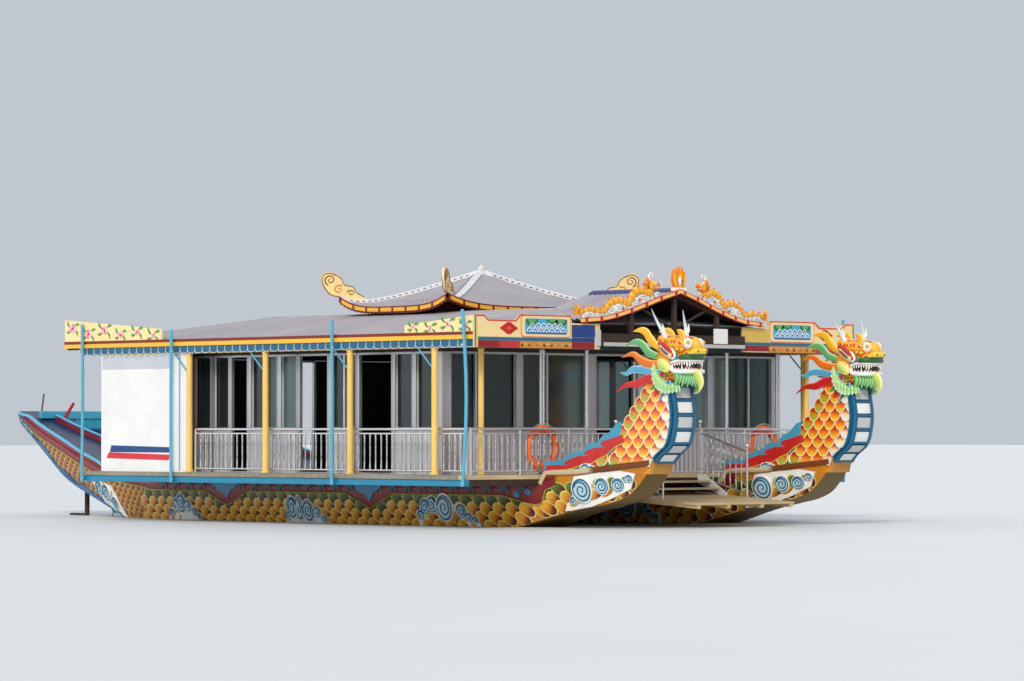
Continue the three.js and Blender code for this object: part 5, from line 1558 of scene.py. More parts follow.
for x in JOISTS:
    roof.box(x - 0.035, x + 0.035, -JOIST_END, JOIST_END, JOIST_FOOT, 2.15, "dark_wood")
    for y0, y1 in ((-4.0, -3.0), (-3.0, -1.6), (1.6, 3.0), (3.0, 4.0)):
        band = [(y0, roof_height(x, y0) - 0.0405), (y1, roof_height(x, y1) - 0.0405),
                (y1, roof_height(x, y1) - 0.1), (y0, roof_height(x, y0) - 0.1)]
        roof.prism(band, x - 0.025, x + 0.025, along_x, "dark_wood")
for y in (-4.1325, 4.1325):
    roof.box(ROOF_BACK, ROOF_FRONT, y - 0.0325, y + 0.0325, JOIST_FOOT, 2.139, "dark_wood")
SEAT_BACK, SEAT_FRONT, SEAT_HALF, SEAT_BOARD = -5.12, -3.22, 1.45, 0.08
# Drum under the pavilion, in dark wood as painted shade
roof.box(SEAT_BACK, SEAT_FRONT, -SEAT_HALF, SEAT_HALF, 2.38, 2.66, "dark_wood")
for x0, x1 in ((-9.99, -5.52), (-2.82, -1.52)):
    stops = spans(x0, x1, round((x1 - x0) / 0.3))
    loft(roof, [[(x, -0.14, roof_height(x, 0.14) - 0.005), (x, -0.14, roof_height(x, 0.14) + 0.012),
                 (x, 0.0, roof_height(x, 0.0) + 0.032), (x, 0.14, roof_height(x, 0.14) + 0.012),
                 (x, 0.14, roof_height(x, 0.14) - 0.005)] for x in stops], "ridge")
roof.make("cabin_roof", "main_roof", "roof_sheet", sharp=50)


def sheet_on_lining(shape, rows, columns, coarse, thickness, place):
    """A corrugated sheet on a smooth lining. place(i, j, columns, drop, waved) gives their points. The
    lining's dark wood is painted shade under the sheet.
    """
    for count, material, top, bottom, waved in ((columns, "sheet", 0.0, -SKIN, True),
                                                (coarse, "dark_wood", -LINING_TOP, -thickness, False)):
        shape.grid(count + 1, rows, lambda i, j: place(i, j, count, top, waved), material,
                   back=lambda i, j: place(i, j, count, bottom, waved))


# Pavilion: four concave corrugated slopes, hip caps, a trimmed eave and a turned finial
PAV_X, PAV_HX, PAV_HY, PAV_EAVE, PAV_LIFT, PAV_APEX = -4.17, 1.325, 1.95, 2.7, 0.19, 3.33
PAV_SHEET = 0.05


def pavilion_height(u, v):
    reach = max(abs(u), abs(v))
    return PAV_EAVE + (PAV_APEX - PAV_EAVE) * max(0.0, 1 - reach) ** 1.25 + PAV_LIFT * abs(u * v) ** 4


def pavilion_point(u, v, drop=0.0):
    return (PAV_X + u * PAV_HX, v * PAV_HY, pavilion_height(u, v) + drop)


pavilion = Shape()
reaches = [0.012, 0.1, 0.2, 0.3, 0.4, 0.5, 0.6, 0.7, 0.8, 0.88, 0.95, 1.0]
for outward, half in (((1, 0), PAV_HY), ((-1, 0), PAV_HY), ((0, 1), PAV_HX), ((0, -1), PAV_HX)):
    along = (outward[1], -outward[0])
    columns = 4 * round(2 * half / WAVE_PITCH)

    def place(i, j, columns, drop, waved):
        r, t = reaches[j], 2 * i / columns - 1
        u, v = r * (outward[0] + along[0] * t), r * (outward[1] + along[1] * t)
        return pavilion_point(u, v, drop + (wave(r * t * half) if waved else 0.0))

    sheet_on_lining(pavilion, len(reaches), columns, 12, PAV_SHEET, place)

CAP_HALF = 0.12
for su in (1, -1):
    for sv in (1, -1):
        across = [(-1, 0.006), (-0.94, 0.016), (-0.4, 0.026), (0, 0.036), (0.4, 0.026), (0.94, 0.016),
                  (1, 0.006)]
        if su * sv > 0:
            across.reverse()
        hip = [0.02] + spans(0.1, 1.0, 18)

        def cap_point(r, e, lift):
            """On the slope to the front or back for e over 0, and to the sides below it."""
            u = su * (r + min(0.0, e) * CAP_HALF / PAV_HX)
            v = sv * (r - max(0.0, e) * CAP_HALF / PAV_HY)
            return pavilion_point(u if abs(u) > 0.001 else 0.0, v, lift)

        pavilion.grid(len(hip), len(across), lambda i, j: cap_point(hip[i], *across[j]), "ridge",
                      back=lambda i, j: cap_point(hip[i], across[j][0], -0.02))
        for k in range(20):
            r = 0.12 + 0.043 * k
            for e in (-0.9, 0.9):
                pavilion.tube([cap_point(r, e, 0.018), cap_point(r + 0.022, e, 0.018)], 0.009, "rubber",
                              sides=6)

DARK_TICK, EAVE_YELLOW, EAVE_RED = (120, 22, 20), (248, 184, 28), (126, 18, 30)
for place_side, half in ((lambda a, b, c: (PAV_X + PAV_HX + c, a, b), PAV_HY),
                         (lambda a, b, c: (PAV_X - PAV_HX - c, a, b), PAV_HY),
                         (lambda a, b, c: (PAV_X + a, PAV_HY + c, b), PAV_HX),
                         (lambda a, b, c: (PAV_X + a, -PAV_HY - c, b), PAV_HX)):
    def edge(s, drop):
        return (s, PAV_EAVE + PAV_LIFT * min(1.0, abs(s) / half) ** 4 - drop)

    def band(s0, s1, top, bottom, low, high, material, tint, count=24):
        steps = spans(s0, s1, count)
        outline = [edge(s, top) for s in steps] + [edge(s, bottom) for s in reversed(steps)]
        pavilion.prism(outline, low, high, place_side, material, tint)

    band(-half - 0.012, half + 0.012, 0.004, 0.078, -0.022, 0.012, "board", EAVE_YELLOW)
    band(-half - 0.014, half + 0.014, -0.006, 0.014, -0.01, 0.017, "board", EAVE_RED)
    band(-half - 0.012, half + 0.012, 0.078, 0.09, -0.016, 0.015, "board", EAVE_RED)
    ticks = 2 * round(half / 0.33)
    for k in range(ticks + 1):
        s = -half + 0.03 + (2 * half - 0.06) * k / ticks
        band(s - 0.022, s + 0.022, 0.014, 0.078, 0.0, 0.017, "board", DARK_TICK, 1)
    scallops = round(2 * half / 0.083)
    for k in range(scallops):
        s0, s1 = -half + 2 * half * k / scallops, -half + 2 * half * (k + 1) / scallops
        steps = spans(s0, s1, 6)
        outline = [edge(s, 0.09) for s in steps]
        outline += [edge(s, 0.092 + 0.026 * sin(pi * (s - s0) / (s1 - s0)))
                    for s in reversed(steps)]
        pavilion.prism(outline, -0.012, 0.006, place_side, "board", DARK_TICK)

# Louvred seat under the pavilion, in dark wood as painted shade in the gap under its eave
for x in (SEAT_BACK, SEAT_FRONT - SEAT_BOARD):
    pavilion.box(x, x + SEAT_BOARD, -SEAT_HALF, SEAT_HALF, 2.6603, 2.81, "dark_wood")
for y in (-SEAT_HALF, SEAT_HALF - SEAT_BOARD):
    pavilion.box(SEAT_BACK + SEAT_BOARD, SEAT_FRONT - SEAT_BOARD, y, y + SEAT_BOARD, 2.6603, 2.81,
                 "dark_wood")
for k in range(3):
    z = 2.672 + 0.04 * k
    for x in (-5.126, -3.214):
        pavilion.box(x - 0.008, x + 0.008, -1.44, 1.44, z, z + 0.014, "lacquer")
    for y in (-1.456, 1.456):
        pavilion.box(-5.1, -3.24, y - 0.008, y + 0.008, z, z + 0.014, "lacquer")
FINIAL = [(-0.06, 0.075), (-0.02, 0.06), (0.01, 0.044), (0.03, 0.05), (0.045, 0.056), (0.062, 0.045),
          (0.08, 0.02), (0.098, 0.012), (0.109, 0.003)]
pavilion.tube([(PAV_X, 0, PAV_APEX + z) for z, _ in FINIAL], [r for _, r in FINIAL], "ridge", sides=20,
              start_up=X_AXIS)
pavilion.make("pavilion_slopes", "pavilion_roof", "roof_sheet", sharp=50)

# Cloud scrolls on the pavilion's corners, in the plane of each hip
HIP_LENGTH = hypot(PAV_HX, PAV_HY)
SCROLL = [(-0.437, -0.02), (-0.4, 0.0), (-0.28, 0.075), (-0.22, 0.17), (-0.08, 0.205), (-0.01, 0.32),
          (0.14, 0.4), (0.27, 0.38), (0.31, 0.28), (0.26, 0.15), (0.17, 0.04), (0.06, 0.005), (-0.045, 0.0)]
SCROLL_TAN, SCROLL_BROWN = (250, 222, 150), (150, 92, 36)
SCROLL_CURLS = [  # place, radii, colour, turns, start, hand and width
    (0.165, 0.275, 0.115, 0.105, SCROLL_BROWN, 1.5, -1.2, 1, 0.013),
    (0.02, 0.12, 0.1, 0.085, ORANGE, 1.3, 2.2, -1, 0.011),
    (-0.18, 0.06, 0.085, 0.06, SCROLL_BROWN, 1.2, 0.4, 1, 0.01),
    (0.1, 0.355, 0.05, 0.03, ORANGE, 0.9, 0.4, 1, 0.008),
]
for end_name, su in (("front", 1), ("aft", -1)):
    for scroll in mirrored("cloud_scroll_" + end_name, "scroll_" + end_name, "board_cream", bevel=0.003):
        dx, dy = su * PAV_HX / HIP_LENGTH, PAV_HY / HIP_LENGTH

        def hip_place(a, b, c):
            return (PAV_X + su * PAV_HX + dx * a - dy * c, PAV_HY + dy * a + dx * c, PAV_EAVE + PAV_LIFT + b)

        outline = [tuple(p) for p in smooth_line(SCROLL, 60)]
        for a in (-0.045, -0.14, -0.24, -0.34, -0.437):
            reach = 1 + a / HIP_LENGTH
            outline.append((a, pavilion_height(reach, reach) - PAV_EAVE - PAV_LIFT - 0.03))
        scroll.prism(outline, -0.02, 0.02, hip_place, "relief", SCROLL_TAN, CREAM)
        for face in (1, -1):
            def scroll_face(a, b, height):
                return hip_place(a, b, face * (0.02 + height))

            line = [scroll_face(0.965 * a, 0.955 * b, 0.002) for a, b in outline[3:58]]
            scroll.tube(line, 0.008, "relief", SCROLL_BROWN, sides=6, start_up=Z_AXIS)
            for a, b, ra, rb, tint, turns, start, hand, width in SCROLL_CURLS:
                spiral(scroll, a, b, ra, rb, scroll_face, 0.003, tint, turns, start, hand, width)


# Gable over the entrance: its sheet, ridge cap, verge and truss
GABLE = [(0, 2.905), (0.4, 2.79), (0.7, 2.69), (1.0, 2.593), (1.3, 2.51), (1.6, 2.45), (2.03, 2.415)]
GABLE_HALF, GABLE_FRONT, GABLE_BACK, GABLE_SHEET, SWEEP = 2.03, 0.45, -1.5, 0.045, 0.13


def gable_height(y):
    return line_at(GABLE, abs(y)) * 0.5 + curve_at(GABLE, 1, abs(y)) * 0.5


def swept(x, y):
    return x - SWEEP * abs(y) / GABLE_HALF


def gable_back(y):
    """Where the gable's slope runs into the main roof."""
    ridge = EAVE_TOP + (gable_height(y) - 0.01 - EAVE_TOP) / line_at(RISE, abs(y))
    run = (RIDGE[3][0] - RIDGE[2][0]) * (RIDGE[2][1] - ridge) / (RIDGE[2][1] - RIDGE[3][1])
    return max(GABLE_BACK, RIDGE[2][0] + run)


gable = Shape()
rows = spans(-GABLE_HALF, GABLE_HALF, 28)


def gable_place(i, j, columns, drop, waved):
    y = rows[j]
    x = gable_back(y) + (swept(GABLE_FRONT, y) - gable_back(y)) * i / columns
    return (x, y, gable_height(y) + drop + (wave(x) if waved else 0.0))


sheet_on_lining(gable, len(rows), 72, 8, GABLE_SHEET, gable_place)
cap = spans(-1.5, 0.36, 124)
spread = [-1, -0.66, -0.33, 0, 0.33, 0.66, 1]


def cap_place(i, j, lift):
    s = spread[j]
    y = s * (0.105 + 0.03 * abs(cos(pi * cap[i] / 0.12)))
    return (cap[i], y, gable_height(y) + 0.01 + 0.02 * (1 - s * s) + lift)


gable.grid(len(cap), len(spread), lambda i, j: cap_place(i, j, 0.0), "ridge_blue",
           back=lambda i, j: cap_place(i, j, -0.018))
gable.make("gable_sheet", "gable_roof", "roof_sheet", sharp=50)

verge = Shape()
VERGE_YELLOW = (255, 200, 104)


def verge_ring(y, low, high, back, front):
    return [(swept(x, y), y, gable_height(y) + z) for x, z in
            ((back, low), (front, low), (front, high), (back, high))]


def verge_band(y0, y1, low, high, back, front, tint, count=40):
    loft(verge, [verge_ring(y, low, high, back, front) for y in spans(y0, y1, count)], "relief", tint)


verge_band(-GABLE_HALF, GABLE_HALF, -0.065, 0.0, 0.4503, 0.4873, VERGE_YELLOW)
verge_band(-GABLE_HALF, GABLE_HALF, -0.006, 0.004, 0.44, 0.4903, (232, 60, 30))
verge_band(-GABLE_HALF, GABLE_HALF, -0.068, -0.058, 0.4503, 0.4903, RED)
for k in range(7):
    for y in (-0.1 - 0.308 * k, 0.1 + 0.308 * k):
        verge_band(y - 0.026, y + 0.026, -0.074, 0.006, 0.446, 0.4905, RED, 2)
verge.make("gable_bargeboard", "gable_verge", "trim_orange")

TRUSS_BACK, TRUSS_FRONT = 0.301, 0.361
truss = Shape()
for y0, y1 in ((-1.0, 0.0), (0.0, 1.0)):
    loft(truss, [[(x, y, gable_height(y) - z) for x, z in
                  ((TRUSS_BACK, 0.0456), (TRUSS_FRONT, 0.0456), (TRUSS_FRONT, 0.1153), (TRUSS_BACK, 0.1153))]
                 for y in spans(y0, y1, 10)], "dark_wood")
truss.box(TRUSS_BACK, TRUSS_FRONT, -1.59, 1.59, 1.985, 2.19, "dark_wood")
truss.box(TRUSS_FRONT, 0.375, -1.58, 1.58, 1.99, 2.05, "grey_panel")
truss.box(TRUSS_FRONT, 0.385, 0.86, 1.17, 2.06, 2.3, "panel")
for y, top in ((0.0, 2.8), (-0.96, 2.5), (0.96, 2.5)):
    truss.box(TRUSS_BACK, TRUSS_FRONT, y - 0.04, y + 0.04, 2.19, top, "dark_wood")
for y0, z0, y1, z1 in ((-0.05, 2.3, -0.7, 2.58), (0.05, 2.3, 0.7, 2.58)):
    truss.rod((0.33, y0, z0), (0.33, y1, z1), 0.022, "dark_wood", sides=10)
truss.make("gable_frame", "gable_truss", "dark_wood", bevel=0.004)


# Roof dragons that face the flame pearl, each over clouds on the gable's slope
ORNAMENT_X = 0.445
DRAGON_BODY = [  # distance from the centreline, height and radius, from the tail to the throat
    (2.08, 2.5, 0.028), (1.95, 2.535, 0.04), (1.78, 2.55, 0.05), (1.62, 2.52, 0.046), (1.53, 2.56, 0.05),
    (1.44, 2.65, 0.055), (1.3, 2.7, 0.06), (1.16, 2.69, 0.058), (1.07, 2.65, 0.054), (1.02, 2.71, 0.058),
    (0.95, 2.81, 0.064), (0.82, 2.865, 0.066), (0.7, 2.845, 0.06), (0.63, 2.82, 0.058), (0.6, 2.88, 0.064),
]
CLOUD_DISCS = [(1.88, 2.47, 0.075), (1.66, 2.48, 0.065), (1.42, 2.57, 0.09), (1.26, 2.6, 0.085),
               (1.1, 2.6, 0.07),
               (0.93, 2.7, 0.085), (0.78, 2.745, 0.085), (0.62, 2.76, 0.06), (0.47, 2.815, 0.055)]
DRAGON_GOLD, DRAGON_ORANGE = (252, 172, 20), (236, 122, 12)


def ornament(a, b, out):
    return (swept(ORNAMENT_X, a) + out, a, b)


def spike(shape, base, tip, width, tint, depth=0.03):
    """A flat pointed tongue from base to tip."""
    (a0, b0), (a1, b1) = base, tip
    length = hypot(a1 - a0, b1 - b0)
    na, nb = -(b1 - b0) / length * width, (a1 - a0) / length * width
    bend = 0.35 * width
    outline = [(a0 + na, b0 + nb), (a0 - na, b0 - nb),
               ((a0 + a1) / 2 - na * 0.7 + bend, (b0 + b1) / 2 - nb * 0.7),
               (a1, b1), ((a0 + a1) / 2 + na * 0.7 + bend, (b0 + b1) / 2 + nb * 0.7)]
    shape.prism(outline, -depth, depth, ornament, "relief", tint)


def roof_dragon(shape):
    steps = 84
    line = smooth_line([(a, b) for a, b, _ in DRAGON_BODY], steps)
    radii = [line_at([(k, row[2]) for k, row in enumerate(DRAGON_BODY)], (len(DRAGON_BODY) - 1) * k / steps)
             for k in range(steps + 1)]
    bands = [DRAGON_ORANGE if k % 4 == 0 else DRAGON_GOLD if k % 4 < 3 else YELLOW for k in range(steps + 1)]
    shape.tube([ornament(a, b, 0.0) for a, b in line], radii, "relief", bands, sides=14, flat=0.72,
               start_up=X_AXIS)

    # White ground from the slope up to the body, with curled clouds on both faces
    tops = [(a, b) for a, b in line if a < 2.0]
    foot = [(a, gable_height(a) - 0.004) for a in spans(tops[-1][0], tops[0][0], 16)]
    shape.prism(tops + foot, -0.018, 0.018, ornament, "relief", PALE_BLUE, WHITE)
    for face in (1, -1):
        def surface(a, b, height):
            return ornament(a, b, face * (0.018 + height))

        for k, (a, b, radius) in enumerate(CLOUD_DISCS):
            inlay(shape, oval(a, b, radius, radius * 0.8), surface, 0.0, 0.006 + 0.002 * (k % 2), WHITE)
            spiral(shape, a, b, radius * 0.85, radius * 0.68, surface, 0.01, (96, 150, 176), turns=1.2,
                   start=0.6 * k, hand=1 if k % 2 else -1, width=0.007)

    # Spines along the back, and a fan of a tail
    for k in range(6, steps - 4, 5):
        (a0, b0), (a1, b1) = line[k - 1], line[k + 1]
        length = hypot(a1 - a0, b1 - b0)
        na, nb = (b1 - b0) / length, -(a1 - a0) / length
        if nb < 0.25:
            continue
        a, b, r = line[k][0], line[k][1], radii[k]
        spike(shape, (a + na * r * 0.8, b + nb * r * 0.8),
              (a + na * (r + 0.026) + 0.02, b + nb * (r + 0.026)), 0.022,
              DRAGON_ORANGE, 0.008)
    for angle, length in ((-28, 0.12), (0, 0.15), (28, 0.17), (58, 0.15), (88, 0.11)):
        turn = radians(angle)
        spike(shape, (2.04, 2.5), (2.06 + length * cos(turn), 2.5 + length * sin(turn)), 0.026, DRAGON_GOLD,
              0.02)

    # Head with its mane, jaw, eye and curled white horn
    for a, b, ra, rb, tint in ((0.575, 2.945, 0.075, 0.075, DRAGON_GOLD),
                               (0.5, 2.965, 0.07, 0.038, DRAGON_GOLD),
                               (0.44, 2.975, 0.034, 0.036, ORANGE), (0.495, 2.905, 0.055, 0.022, ORANGE),
                               (0.55, 2.995, 0.045, 0.03, YELLOW)):
        centre = ornament(a, b, 0.0)
        shape.ball(centre, (0.044, ra, rb), "relief", tint)
    shape.ball(ornament(0.49, 2.934, 0.0), (0.036, 0.05, 0.012), "relief", WHITE, rings=6)
    for face in (1, -1):
        shape.ball(ornament(0.52, 2.985, face * 0.038), (0.014, 0.016, 0.016), "relief", WHITE, rings=6)
        shape.ball(ornament(0.517, 2.985, face * 0.05), (0.006, 0.007, 0.007), "relief", BLACK, rings=6)
    for k in range(6):
        turn = radians(-30 + 26 * k)
        spike(shape, (0.62, 2.93), (0.62 + 0.15 * cos(turn), 2.93 + 0.15 * sin(turn)), 0.028,
              DRAGON_GOLD if k % 2 else ORANGE, 0.022)
    horn = [(0.58, 3.0), (0.62, 3.05), (0.635, 3.1), (0.6, 3.145), (0.555, 3.14), (0.548, 3.105),
            (0.575, 3.092)]
    shape.tube([ornament(a, b, 0.0) for a, b in smooth_line(horn, 24)],
               [0.02 - 0.0005 * k for k in range(25)], "relief", WHITE,
               sides=10, start_up=X_AXIS)
    for a, b in ((0.42, 2.985), (0.41, 2.93)):
        whisker = [(a, b), (a - 0.035, b + 0.035), (a - 0.03, b + 0.075)]
        shape.tube([ornament(p, q, 0.0) for p, q in smooth_line(whisker, 8)],
                   [0.008 - 0.0007 * k for k in range(9)], "relief", WHITE,
                   sides=8, start_up=X_AXIS)
    for a, b in ((1.2, 2.6), (0.86, 2.74)):
        for k in range(3):
            turn = radians(200 + 30 * k)
            spike(shape, (a, b), (a + 0.07 * cos(turn), b + 0.06 * sin(turn)), 0.014, DRAGON_ORANGE, 0.03)


for beast in mirrored("gable_dragon", "roof_dragon", "trim_orange"):
    roof_dragon(beast)

pearl = Shape()
flames = [(-0.125, 3.215), (-0.066, 3.24), (0.0, 3.268), (0.06, 3.245), (0.12, 3.19)]
outline = [(0.07, 2.87), (0.115, 2.95), (0.14, 3.05)]
for k in range(len(flames) - 1, -1, -1):
    outline.append(flames[k])
    if k:
        outline.append(((flames[k][0] + flames[k - 1][0]) / 2, 3.125))
outline += [(-0.145, 3.05), (-0.115, 2.95), (-0.07, 2.87)]
pearl.prism(outline, -0.03, 0.03, ornament, "relief", DRAGON_GOLD, ORANGE)
for face in (1, -1):
    for k, (a, top) in enumerate(flames):
        tongue = [(a * 0.5, 2.93), (a * 0.95 + 0.016, 3.03), (a, top - 0.04), (a * 0.95 - 0.016, 3.03)]
        pearl.prism(tongue, face * 0.03, face * 0.036, ornament, "relief", ORANGE if k % 2 else YELLOW)
pearl.ball(ornament(0.0, 3.035, 0.0), (0.05, 0.056, 0.09), "relief", WHITE, rings=14, sides=22)
for face in (1, -1):
    pearl.ball(ornament(0.014, 3.035, face * 0.022), (0.032, 0.036, 0.062), "relief", BLUE, rings=10,
               sides=16)
    pearl.ball(ornament(-0.004, 3.065, face * 0.048), (0.01, 0.012, 0.016), "relief", WHITE, rings=6)
    for a, b, radius in ((-0.11, 2.9, 0.045), (-0.04, 2.915, 0.035), (0.04, 2.915, 0.035),
                         (0.11, 2.9, 0.045)):
        pearl.ball(ornament(a, b, face * 0.02), (0.022, radius, radius * 0.8), "relief", WHITE, rings=8)
pearl.make("pearl_in_flames", "flame_pearl", "trim_orange", bevel=0.002)


# Painted boards across the front of the eave
BOARD_FACE = 0.3
BOARD_TOP = [(4.24, 2.43), (4.05, 2.43), (3.96, 2.36), (3.39, 2.36), (3.295, 2.45), (2.235, 2.45),
             (2.2, 2.335), (1.6, 2.335)]
BOARD_CREAM, STRIP_BLUE = (252, 224, 160), (24, 112, 146)
CARVED, MAROON, BRICK, NAVY = (216, 140, 52), (150, 16, 30), (200, 44, 44), (20, 62, 138)


def painted(shape, outline, high, tint, low=0.0):
    shape.prism(outline, BOARD_FACE + low, BOARD_FACE + high, along_x, "board", tint)


def strips(shape, table):
    """Painted rectangles. Each row has their ends, foot, top, thickness and colour."""
    for a0, a1, b0, b1, high, tint in table:
        painted(shape, [(a0, b0), (a1, b0), (a1, b1), (a0, b1)], high, tint)


def rounded(a0, a1, b0, b1, radius, steps=5):
    corners = [(a1 - radius, b1 - radius, 0), (a0 + radius, b1 - radius, 90), (a0 + radius, b0 + radius, 180),
               (a1 - radius, b0 + radius, 270)]
    return [(a + radius * cos(radians(start + 90 * k / steps)),
             b + radius * sin(radians(start + 90 * k / steps)))
            for a, b, start in corners for k in range(steps + 1)]


def arch(a, b, ra, rb, steps=10):
    return [(a + ra * cos(pi * k / steps), b + rb * sin(pi * k / steps))
            for k in range(steps + 1)]


def wave_panel(shape, a0, a1, b0, b1):
    """A framed panel of blue waves under low green hills."""
    painted(shape, rounded(a0, a1, b0, b1, 0.06), 0.003, (232, 58, 32))
    painted(shape, rounded(a0 + 0.012, a1 - 0.012, b0 + 0.012, b1 - 0.012, 0.055), 0.005, BOARD_CREAM)
    left, right, foot, head = a0 + 0.085, a1 - 0.085, b0 + 0.05, b1 - 0.05
    painted(shape, rounded(left, right, foot, head, 0.05), 0.007, (64, 176, 218))
    for a, width, height in ((left + 0.13, 0.13, 0.1), (left + 0.32, 0.12, 0.07),
                             (right - 0.14, 0.13, 0.115)):
        ground = head - 0.012
        painted(shape, arch(a, ground, width, -height), 0.009, (30, 120, 72))
        painted(shape, arch(a, ground, 0.6 * width, -0.55 * height), 0.0105, (96, 176, 92))
    for row in range(2):
        count = 7 - row
        pitch = (right - left - 0.06) / 7
        for k in range(count):
            a = left + 0.03 + pitch * (k + 0.5 + 0.5 * row)
            b = foot + 0.028 + 0.07 * row
            for share, tint in ((1.0, WHITE), (0.78, (36, 130, 196)), (0.45, PALE_BLUE)):
                painted(shape, arch(a, b, pitch * 0.5 * share, 0.075 * share),
                        0.0125 - 0.003 * share + 0.002 * (1 - row), tint)
    strips(shape, [(left + 0.02, right - 0.02, foot + 0.006, foot + 0.028, 0.012, (24, 96, 168))])


BOARD_STRIPS = [
    (4.212, 4.24, 1.95, 2.42, 0.006, BLUE),
    (4.18, 4.212, 1.95, 2.42, 0.006, YELLOW),
    (2.21, 4.17, 2.047, 2.1, 0.005, STRIP_BLUE),
    (3.74, 4.17, 1.943, 2.045, 0.004, MAROON),
    (3.31, 3.738, 1.943, 2.045, 0.004, BRICK),
    (2.21, 3.308, 1.943, 2.045, 0.004, CARVED),
]
INNER_STRIPS = {  # beside the entrance, where the two sides differ
    -1: [(1.72, 2.205, 2.12, 2.31, 0.012, (16, 52, 120)), (1.73, 2.195, 2.13, 2.3, 0.014, NAVY),
         (1.72, 2.205, 2.05, 2.112, 0.005, NAVY), (1.72, 2.205, 1.943, 2.047, 0.004, MAROON),
         (1.605, 1.7, 1.99, 2.24, 0.03, PALE_GREY)],
    1: [(1.61, 2.205, 2.1, 2.32, 0.004, (222, 186, 86)), (1.61, 2.205, 2.05, 2.098, 0.005, STRIP_BLUE)],
}
LOZENGE = [(3.73, 2.237), (3.64, 2.285), (3.57, 2.328), (3.5, 2.328), (3.43, 2.285), (3.34, 2.237),
           (3.43, 2.19), (3.5, 2.147), (3.57, 2.147), (3.64, 2.19)]


for board in mirrored("entrance_board", "front_board", "board_cream", bevel=0.0015):
    board.prism([(1.6, 1.941), (4.24, 1.941)] + BOARD_TOP, 0.2603, BOARD_FACE, along_x, "board", BOARD_CREAM,
                (226, 190, 120))
    edge = [(a, b - 0.008) for a, b in BOARD_TOP[:6]]
    for p, q in zip(edge, edge[1:]):
        board.tube([(BOARD_FACE + 0.001, *p), (BOARD_FACE + 0.001, *q)], 0.011, "board", (226, 52, 30),
                   sides=6, start_up=X_AXIS)
    strips(board, BOARD_STRIPS)
    for k in range(14):
        a = 2.25 + 0.078 * k
        leaf_shape = [(a + 0.03 * cos(TURN * s / 8 + 0.5 * k), 1.994 + 0.022 * sin(TURN * s / 8) +
                       0.012 * (-1) ** k) for s in range(8)]
        painted(board, leaf_shape, 0.007, BROWN if k % 2 else (240, 180, 80))
    painted(board, LOZENGE, 0.005, RED)
    painted(board, [(0.4 * (a - 3.535) + 3.535, 0.4 * (b - 2.237) + 2.237) for a, b in LOZENGE], 0.007,
            (232, 70, 60))
    wave_panel(board, 2.225, 3.285, 2.106, 2.444)
    strips(board, INNER_STRIPS[board.side])
    if board.side > 0:
        scallops = [(2.205 - 0.595 * k / 40, 1.95 + 0.012 * abs(sin(pi * k / 5)))
                    for k in range(41)]
        painted(board, [(1.61, 2.047), (2.205, 2.047)] + scallops, 0.005, MAROON)


# Eave along the sides: red and yellow strip, scalloped valance and flowered parapets
VALANCE_BLUE, STRIP_RED, STRIP_YELLOW = (8, 96, 136), (128, 20, 30), (250, 190, 24)
SCALLOPS, SCALLOP_START, SCALLOP_END = 51, -9.6, 0.26
SCALLOP_SHAPE = [(0.0, 0.036), (0.08, 0.018), (0.2, 0.007), (0.35, 0.002), (0.5, 0.0), (0.65, 0.002),
                 (0.8, 0.007), (0.92, 0.018), (1.0, 0.036)]
PARAPETS = [(-10.0, 2.55, -7.36, 2.35), (-1.325, 2.3, 0.26, 2.43)]


def side_paint(shape, outline, high, tint, face=4.215):
    shape.prism(outline, face, face + high, along_y, "board", tint)


def blossom(shape, a, b, radius, turn):
    for k in range(5):
        angle = turn + TURN * k / 5
        p, q = a + 0.55 * radius * cos(angle), b + 0.55 * radius * sin(angle)
        side_paint(shape, oval(p, q, 0.52 * radius, 0.46 * radius, 10), 0.003 + 0.0004 * k,
                   (236, 120, 160) if k % 2 else (248, 190, 208))
    side_paint(shape, oval(a, b, 0.3 * radius, 0.3 * radius, 8), 0.0062, (196, 30, 84))


def sprig(shape, a, b, angle, length):
    """Two green leaves on a stem."""
    c, s = cos(angle), sin(angle)
    for along, across, size in ((0.55, 0.016, 1.0), (0.95, -0.014, 0.8)):
        p, q = a + along * length * c - across * s, b + along * length * s + across * c
        blade = []
        for k in range(10):
            u, v = 0.5 * size * length * cos(TURN * k / 10), 0.018 * size * sin(TURN * k / 10)
            blade.append((p + u * c - v * s, q + u * s + v * c))
        side_paint(shape, blade, 0.0025, (58, 140, 50) if across > 0 else (120, 180, 70))


EAVE_INNER, VALANCE_TOP, PARAPET_FOOT = 4.1803, 2.0657, 2.1803
